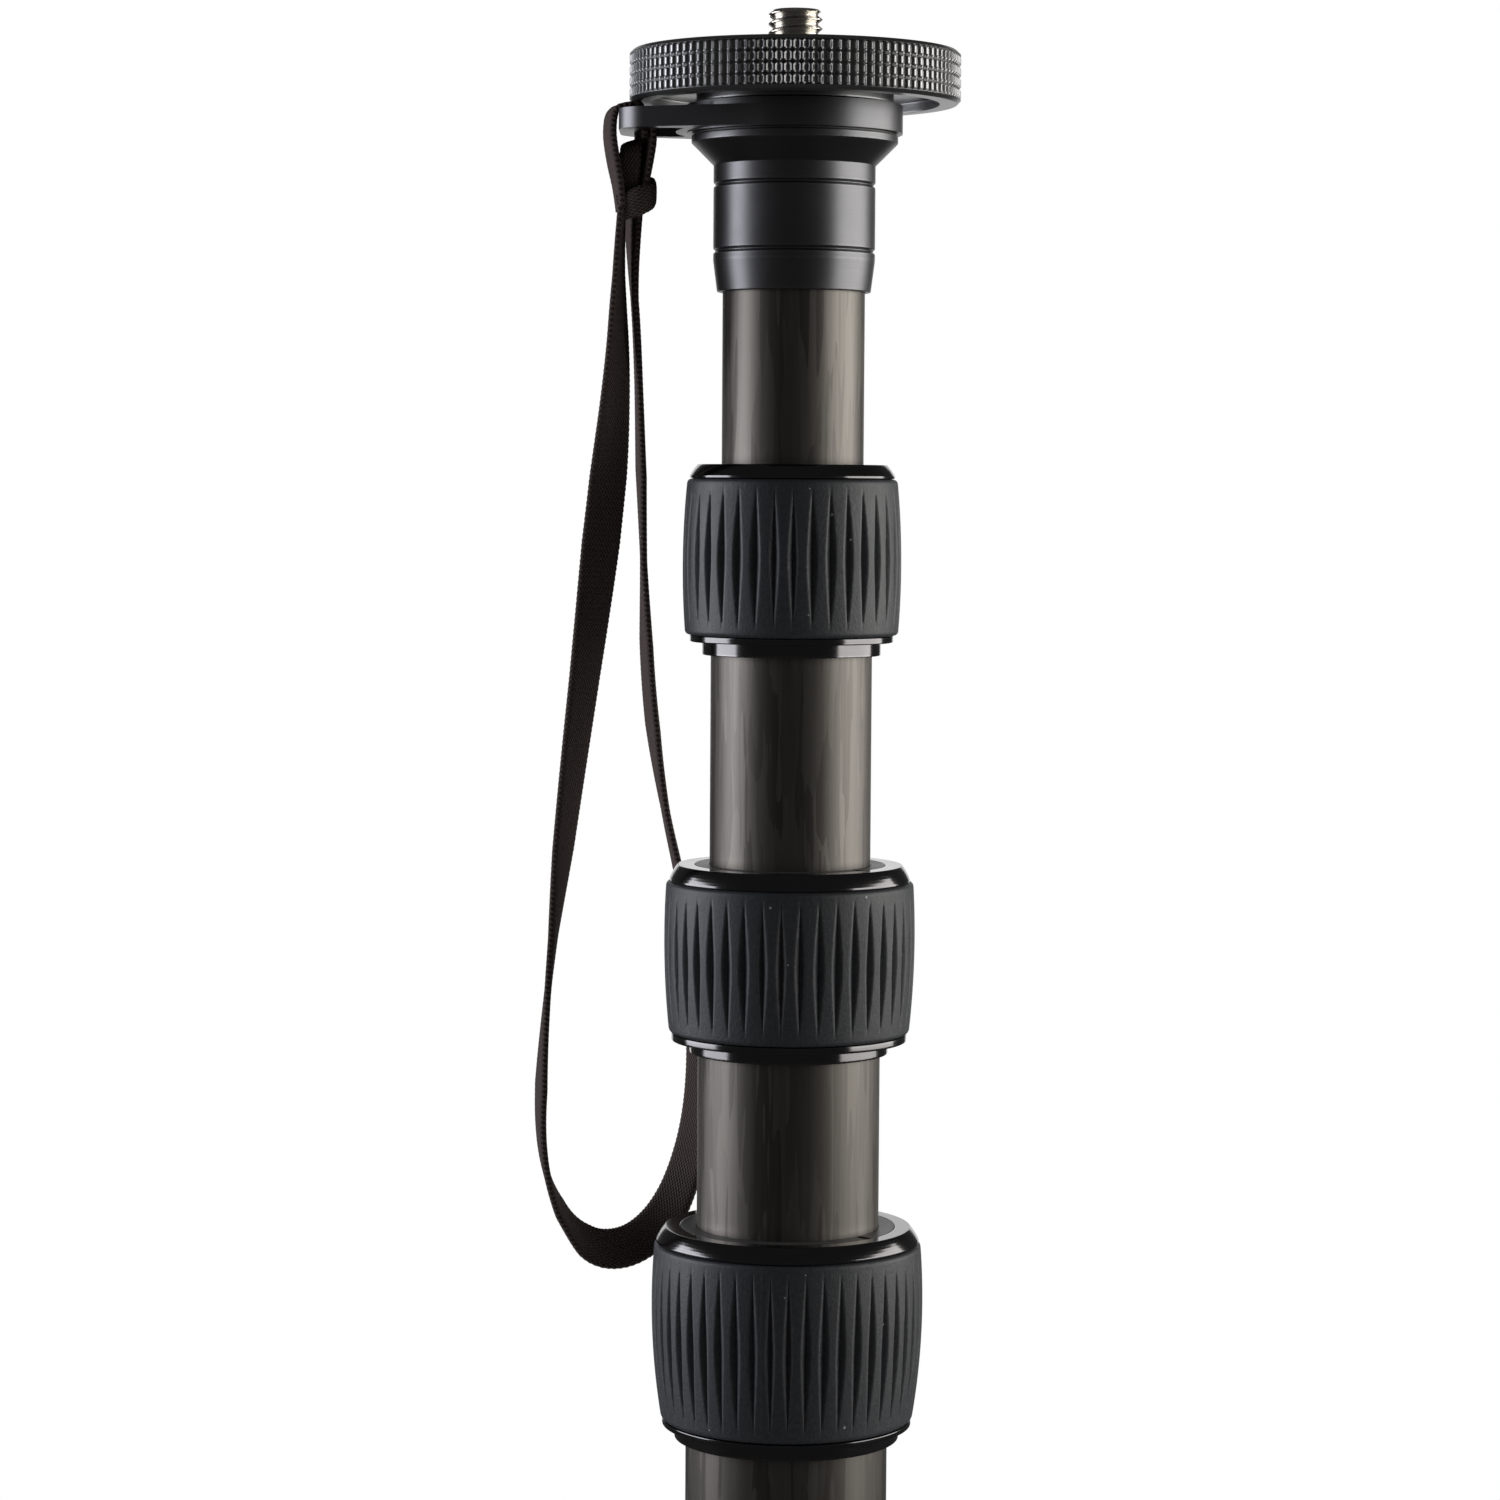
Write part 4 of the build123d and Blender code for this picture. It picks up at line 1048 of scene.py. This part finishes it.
@dataclass
class Strap:
    """Wrist strap: the loop that hangs from the lug, its strands round the lug and the hitch.

    The routes are in millimetres. The turns hold a share of the length, a turn and a dip in degrees.
    """

    exit: Point = (-30.2 * MM, -1.6 * MM, 618.1 * MM)
    length: float = 396 * MM
    width: float = 7.6 * MM
    route: tuple[Point, ...] = (
        (-30.2, -1.6, 618.1), (-30.8, -1.6, 608.0), (-30.9, 0.5, 586.1), (-34.6, 3.6, 551.8),
        (-40.3, 6.8, 507.3), (-44.2, 9.0, 470.9), (-45.0, 11.6, 445.7), (-37.6, 15.6, 430.9),
        (-28.6, 19.5, 429.4), (-20.4, 23.4, 436.9), (-15.4, 27.2, 456.0), (-16.8, 27.6, 484.0),
        (-25.5, 23.4, 522.0), (-26.8, 14.0, 562.0), (-27.5, 6.0, 594.0), (-28.5, 3.2, 608.0),
        (-28.3, 3.0, 618.1),
    )
    turns: tuple[tuple[float, float, float], ...] = (
        (0.0, -1, 0), (0.03, -8, 0), (0.06, -23, 0), (0.09, -39, 0), (0.12, -58, 0), (0.15, -62, 0),
        (0.18, -50, 0), (0.21, -40, 0), (0.25, -31, 0), (0.29, -22, 0), (0.33, -4, 0), (0.37, 6, 0),
        (0.4, 13, 0), (0.43, 9, 0), (0.44, 7, 2), (0.46, 5, 25), (0.48, 25, 55), (0.5, 36, 68),
        (0.52, 45, 58), (0.55, 45, 30), (0.58, 43, 12), (0.61, 41, 0), (0.64, 34, 0), (0.68, 10, 0),
        (0.72, 6, 0), (0.76, 15, 0), (0.8, 13, 0), (0.84, 2, 0), (0.88, 9, 0), (0.92, 5, 0),
        (0.96, 4, 0), (0.975, 10, 0), (1.0, 22, 0),
    )

    def build(self) -> None:
        """Builds the loop, the strands round the lug and the hitch."""
        loop_band = Band("strap_loop_webbing", self.route, self.turns)
        loop = place(loop_band.build(), "strap", WOVEN, "strap_loop")
        pieces = [band.build() for band in self.hitch()]
        for piece in pieces[1:]:
            place(piece, "strap", WOVEN)
        place(pieces[0], "strap", WOVEN, "strap_bight", "strap_hitch")

    def hitch(self) -> list[Band]:
        """The outer and the inner strand round the lug, the arch over the hitch and the knot round it."""
        outer = (
            (-26.9, -0.5, 630.0), (-26.9, -0.5, 635.7), (-29.4, -0.5, 635.7), (-32.1, -0.5, 635.0),
            (-32.5, -0.6, 631.2), (-32.1, -0.8, 628.0), (-31.4, -1.2, 624.5), (-30.7, -1.5, 621.0),
            (-30.4, -1.6, 617.5),
        )
        inner = (
            (-26.0, -0.6, 633.4), (-25.4, -0.6, 630.6), (-26.0, -0.6, 626.3), (-27.0, -0.8, 621.1),
            (-28.2, 0.2, 616.8),
        )
        arch = (
            (-29.0, -2.6, 618.6), (-28.9, -3.0, 624.0), (-28.6, -2.6, 628.6), (-28.4, 0.2, 629.1),
            (-28.4, 2.4, 627.2), (-28.5, 2.8, 620.0),
        )
        knot = (
            (-30.0, 2.6, 620.4), (-27.4, 3.2, 621.2), (-25.5, 1.2, 621.2), (-24.9, -1.8, 620.5),
            (-25.8, -4.3, 619.5), (-27.9, -5.0, 618.6), (-30.3, -3.4, 617.9),
        )
        arch_turns, knot_turns = ((0, 80, -16), (0.5, 80, -16), (1, 84, 0)), ((0, 0, -88), (1, 0, -88))
        return [
            Band("strap_outer_strand", outer, ((0, 13, 0), (0.7, 13, 0), (1, 8, 0))),
            Band("strap_inner_strand", inner, ((0, 17, 0), (1, 15, 0))),
            Band("strap_arch", arch, arch_turns, 4.0 * MM, 1.6 * MM, fullness=3.0),
            Band("strap_knot", knot, knot_turns, 4.9 * MM, 2.0 * MM, fullness=3.0),
        ]


@dataclass
class Foot:
    """Rubber foot with its plug in the lowest tube and the bolt between them."""

    waist_radius: float = 18.6 * MM
    sole_radius: float = 22.0 * MM
    sole_height: float = 6.0 * MM
    sole_chamfer: float = 1.2 * MM
    rubber_corner: float = 0.5 * MM
    tread_radii: tuple[float, float] = (13.0 * MM, 15.0 * MM)
    tread_depth: float = 0.9 * MM
    bolt_radius: float = 4.05 * MM
    head_radius: float = 9.05 * MM
    head_foot: float = 4.95 * MM
    head_top: float = 8.05 * MM
    flange_height: float = 4.0 * MM
    plug_corner: float = 0.25 * MM
    bore_radius: float = 16.7 * MM
    bore_depth: float = 16.0 * MM

    def build(self) -> None:
        """Builds the foot and the plug, and dresses the bolt."""
        place(self.rubber(), "section_4", FOOT_RUBBER, "rubber_foot")
        place(self.plug(), "section_4", ANODISED, "foot_plug")
        dress("foot_bolt", STAINLESS)

    def rubber(self) -> Piece:
        """Flat rubber foot with a flared sole, a tread groove and the cavity of the bolt's head."""
        foot, top = span_of("rubber_foot")
        flare = self.sole_radius - self.waist_radius
        inner, outer = self.tread_radii
        tread_top, sole_top = foot + self.tread_depth, foot + self.sole_height
        head_foot, head_top = foot + self.head_foot, foot + self.head_top
        corners = [
            (0, foot), (inner, foot), (inner, tread_top), (outer, tread_top), (outer, foot),
            (self.sole_radius - self.sole_chamfer, foot), (self.sole_radius, foot + self.sole_chamfer),
            (self.sole_radius, sole_top), (self.waist_radius, sole_top + flare), (self.waist_radius, top),
            (self.bolt_radius, top), (self.bolt_radius, head_top), (self.head_radius, head_top),
            (self.head_radius, head_foot), (0, head_foot),
        ]
        return lathe("rubber_foot_skin", corners, self.rubber_corner)

    def plug(self) -> Piece:
        """Turned plug in the lowest tube, with the threaded hole for the bolt."""
        foot, top = span_of("foot_plug")
        flange_top, bore_top = foot + self.flange_height, foot + self.bore_depth
        corners = [
            (self.bolt_radius, foot), (TUBE_RADII[-1], foot), (TUBE_RADII[-1], flange_top),
            (self.bore_radius, flange_top), (self.bore_radius, top), (0, top), (0, bore_top),
            (self.bolt_radius, bore_top),
        ]
        return lathe("foot_plug_skin", corners, self.plug_corner)


@dataclass(frozen=True)
class Panel:
    """Rectangular light whose power is pi times its radiance times its area."""

    name: str
    spot: Point
    facing: Facing
    size: tuple[float, float]
    radiance: float
    tint: Colour = (1.0, 1.0, 1.0)
    shown: bool = True

    def build(self) -> None:
        """Adds the light to the scene."""
        data = bpy.data.lights.new(self.name, "AREA")
        data.shape = "RECTANGLE"
        data.size, data.size_y = self.size
        data.energy = math.pi * self.radiance * data.size * data.size_y
        data.color = self.tint
        light = add_object(self.name, data)
        turn = Vector(self.facing.value).to_track_quat("-Z", "Y").to_matrix().to_4x4()
        light.matrix_world = Matrix.Translation(self.spot) @ turn
        light.visible_camera = self.shown


@dataclass
class Studio:
    """Camera, softboxes on both sides, a dim panel behind, a pale floor and the light of the room."""

    lens: float = 96.77
    sensor_width: float = 36.0
    clip_start: float = 0.01
    camera_place: Point = (-0.0072, -0.712, 0.570)
    tilt_degrees: float = 86.21
    roll_degrees: float = 0.35
    panels: tuple[Panel, ...] = (
        Panel("softbox_left", (-1.0, 0.14, 0.65), Facing.RIGHT, (0.8, 0.7), 5.4, (0.93, 0.94, 1.0)),
        Panel("softbox_right", (1.0, 0.04, 0.65), Facing.LEFT, (1.16, 0.7), 4.4, (1.0, 0.98, 0.94)),
        Panel("backdrop", (0.0, 1.2, 0.65), Facing.CAMERA, (0.9, 0.9), 1.0, shown=False),
    )
    room_light: float = 0.055
    floor_radius: float = 1.35
    floor_heights: tuple[float, float] = (-0.02, -0.0005)
    floor_corner: float = 2 * MM
    floor_segments: int = 96

    def build(self) -> None:
        """Builds the studio."""
        self.camera()
        for panel in self.panels:
            panel.build()
        self.room()
        self.floor()
        bpy.context.scene.view_settings.view_transform = "Standard"

    def camera(self) -> None:
        """Camera at the photograph's viewing angle."""
        data = bpy.data.cameras.new("camera")
        data.lens = self.lens
        data.sensor_width = self.sensor_width
        data.clip_start = self.clip_start
        camera = add_object("camera", data)
        tilt = Matrix.Rotation(math.radians(self.tilt_degrees), 4, "X")
        roll = Matrix.Rotation(math.radians(self.roll_degrees), 4, "Z")
        camera.matrix_world = Matrix.Translation(self.camera_place) @ tilt @ roll
        bpy.context.scene.camera = camera

    def room(self) -> None:
        """White backdrop for the camera and a dim even light for everything else."""
        world = bpy.data.worlds.new("studio")
        world.use_nodes = True
        graph = Graph(world.node_tree)
        world.node_tree.nodes.clear()
        seen = graph.add("ShaderNodeLightPath").outputs["Is Camera Ray"]
        dim, white = (
            graph.add("ShaderNodeBackground", {"Color": (1, 1, 1, 1), "Strength": strength}).outputs[0]
            for strength in (self.room_light, 1.0)
        )
        mixed = graph.add("ShaderNodeMixShader", {0: seen, 1: dim, 2: white}).outputs[0]
        graph.add("ShaderNodeOutputWorld", {"Surface": mixed})
        bpy.context.scene.world = world

    def floor(self) -> None:
        """Round floor under the object, as a disc of thin wedges."""
        foot, top = self.floor_heights
        corners = [(0, foot), (self.floor_radius, foot), (self.floor_radius, top), (0, top)]
        floor = lathe("studio_floor", corners, self.floor_corner, self.floor_segments)
        floor.data.materials.append(FLOOR.material())
        floor.visible_glossy = False


def twist_locks() -> list[TwistLock]:
    """The three locks, the uppermost first."""
    return [
        TwistLock(
            number=1, rim_radius=18.1 * MM, rim_chamfer=1.4 * MM, core_radius=17.4 * MM,
            foot_radius=18.0 * MM, seam_radius=15.2 * MM, ferrule_radius=15.8 * MM, grip_drop=2.45 * MM,
            grip_height=27.6 * MM, grip_radii=(18.5 * MM, 19.27 * MM, 18.8 * MM), groove_count=36,
        ),
        TwistLock(
            number=2, rim_radius=21.3 * MM, rim_chamfer=1.4 * MM, core_radius=20.0 * MM,
            foot_radius=20.9 * MM, seam_radius=16.9 * MM, ferrule_radius=17.6 * MM, grip_drop=2.9 * MM,
            grip_height=27.05 * MM, grip_radii=(21.9 * MM, 22.18 * MM, 21.3 * MM), groove_count=42,
        ),
        TwistLock(
            number=3, rim_radius=23.4 * MM, rim_chamfer=1.6 * MM, core_radius=21.3 * MM,
            foot_radius=22.2 * MM, seam_radius=19.1 * MM, ferrule_radius=20.0 * MM, grip_drop=2.8 * MM,
            grip_height=31.8 * MM, grip_radii=(23.7 * MM, 24.06 * MM, 22.4 * MM), groove_count=48,
            seam_degrees=-100.6,
        ),
    ]


def main() -> None:
    """Builds the studio and every sub-assembly in order."""
    logging.basicConfig(level=logging.INFO, format="%(name)s: %(message)s")
    Studio().build()
    Strap().build()
    Telescope().build()
    for lock in twist_locks():
        lock.build()
    Head().build()
    Foot().build()


if __name__ == "__main__":
    main()
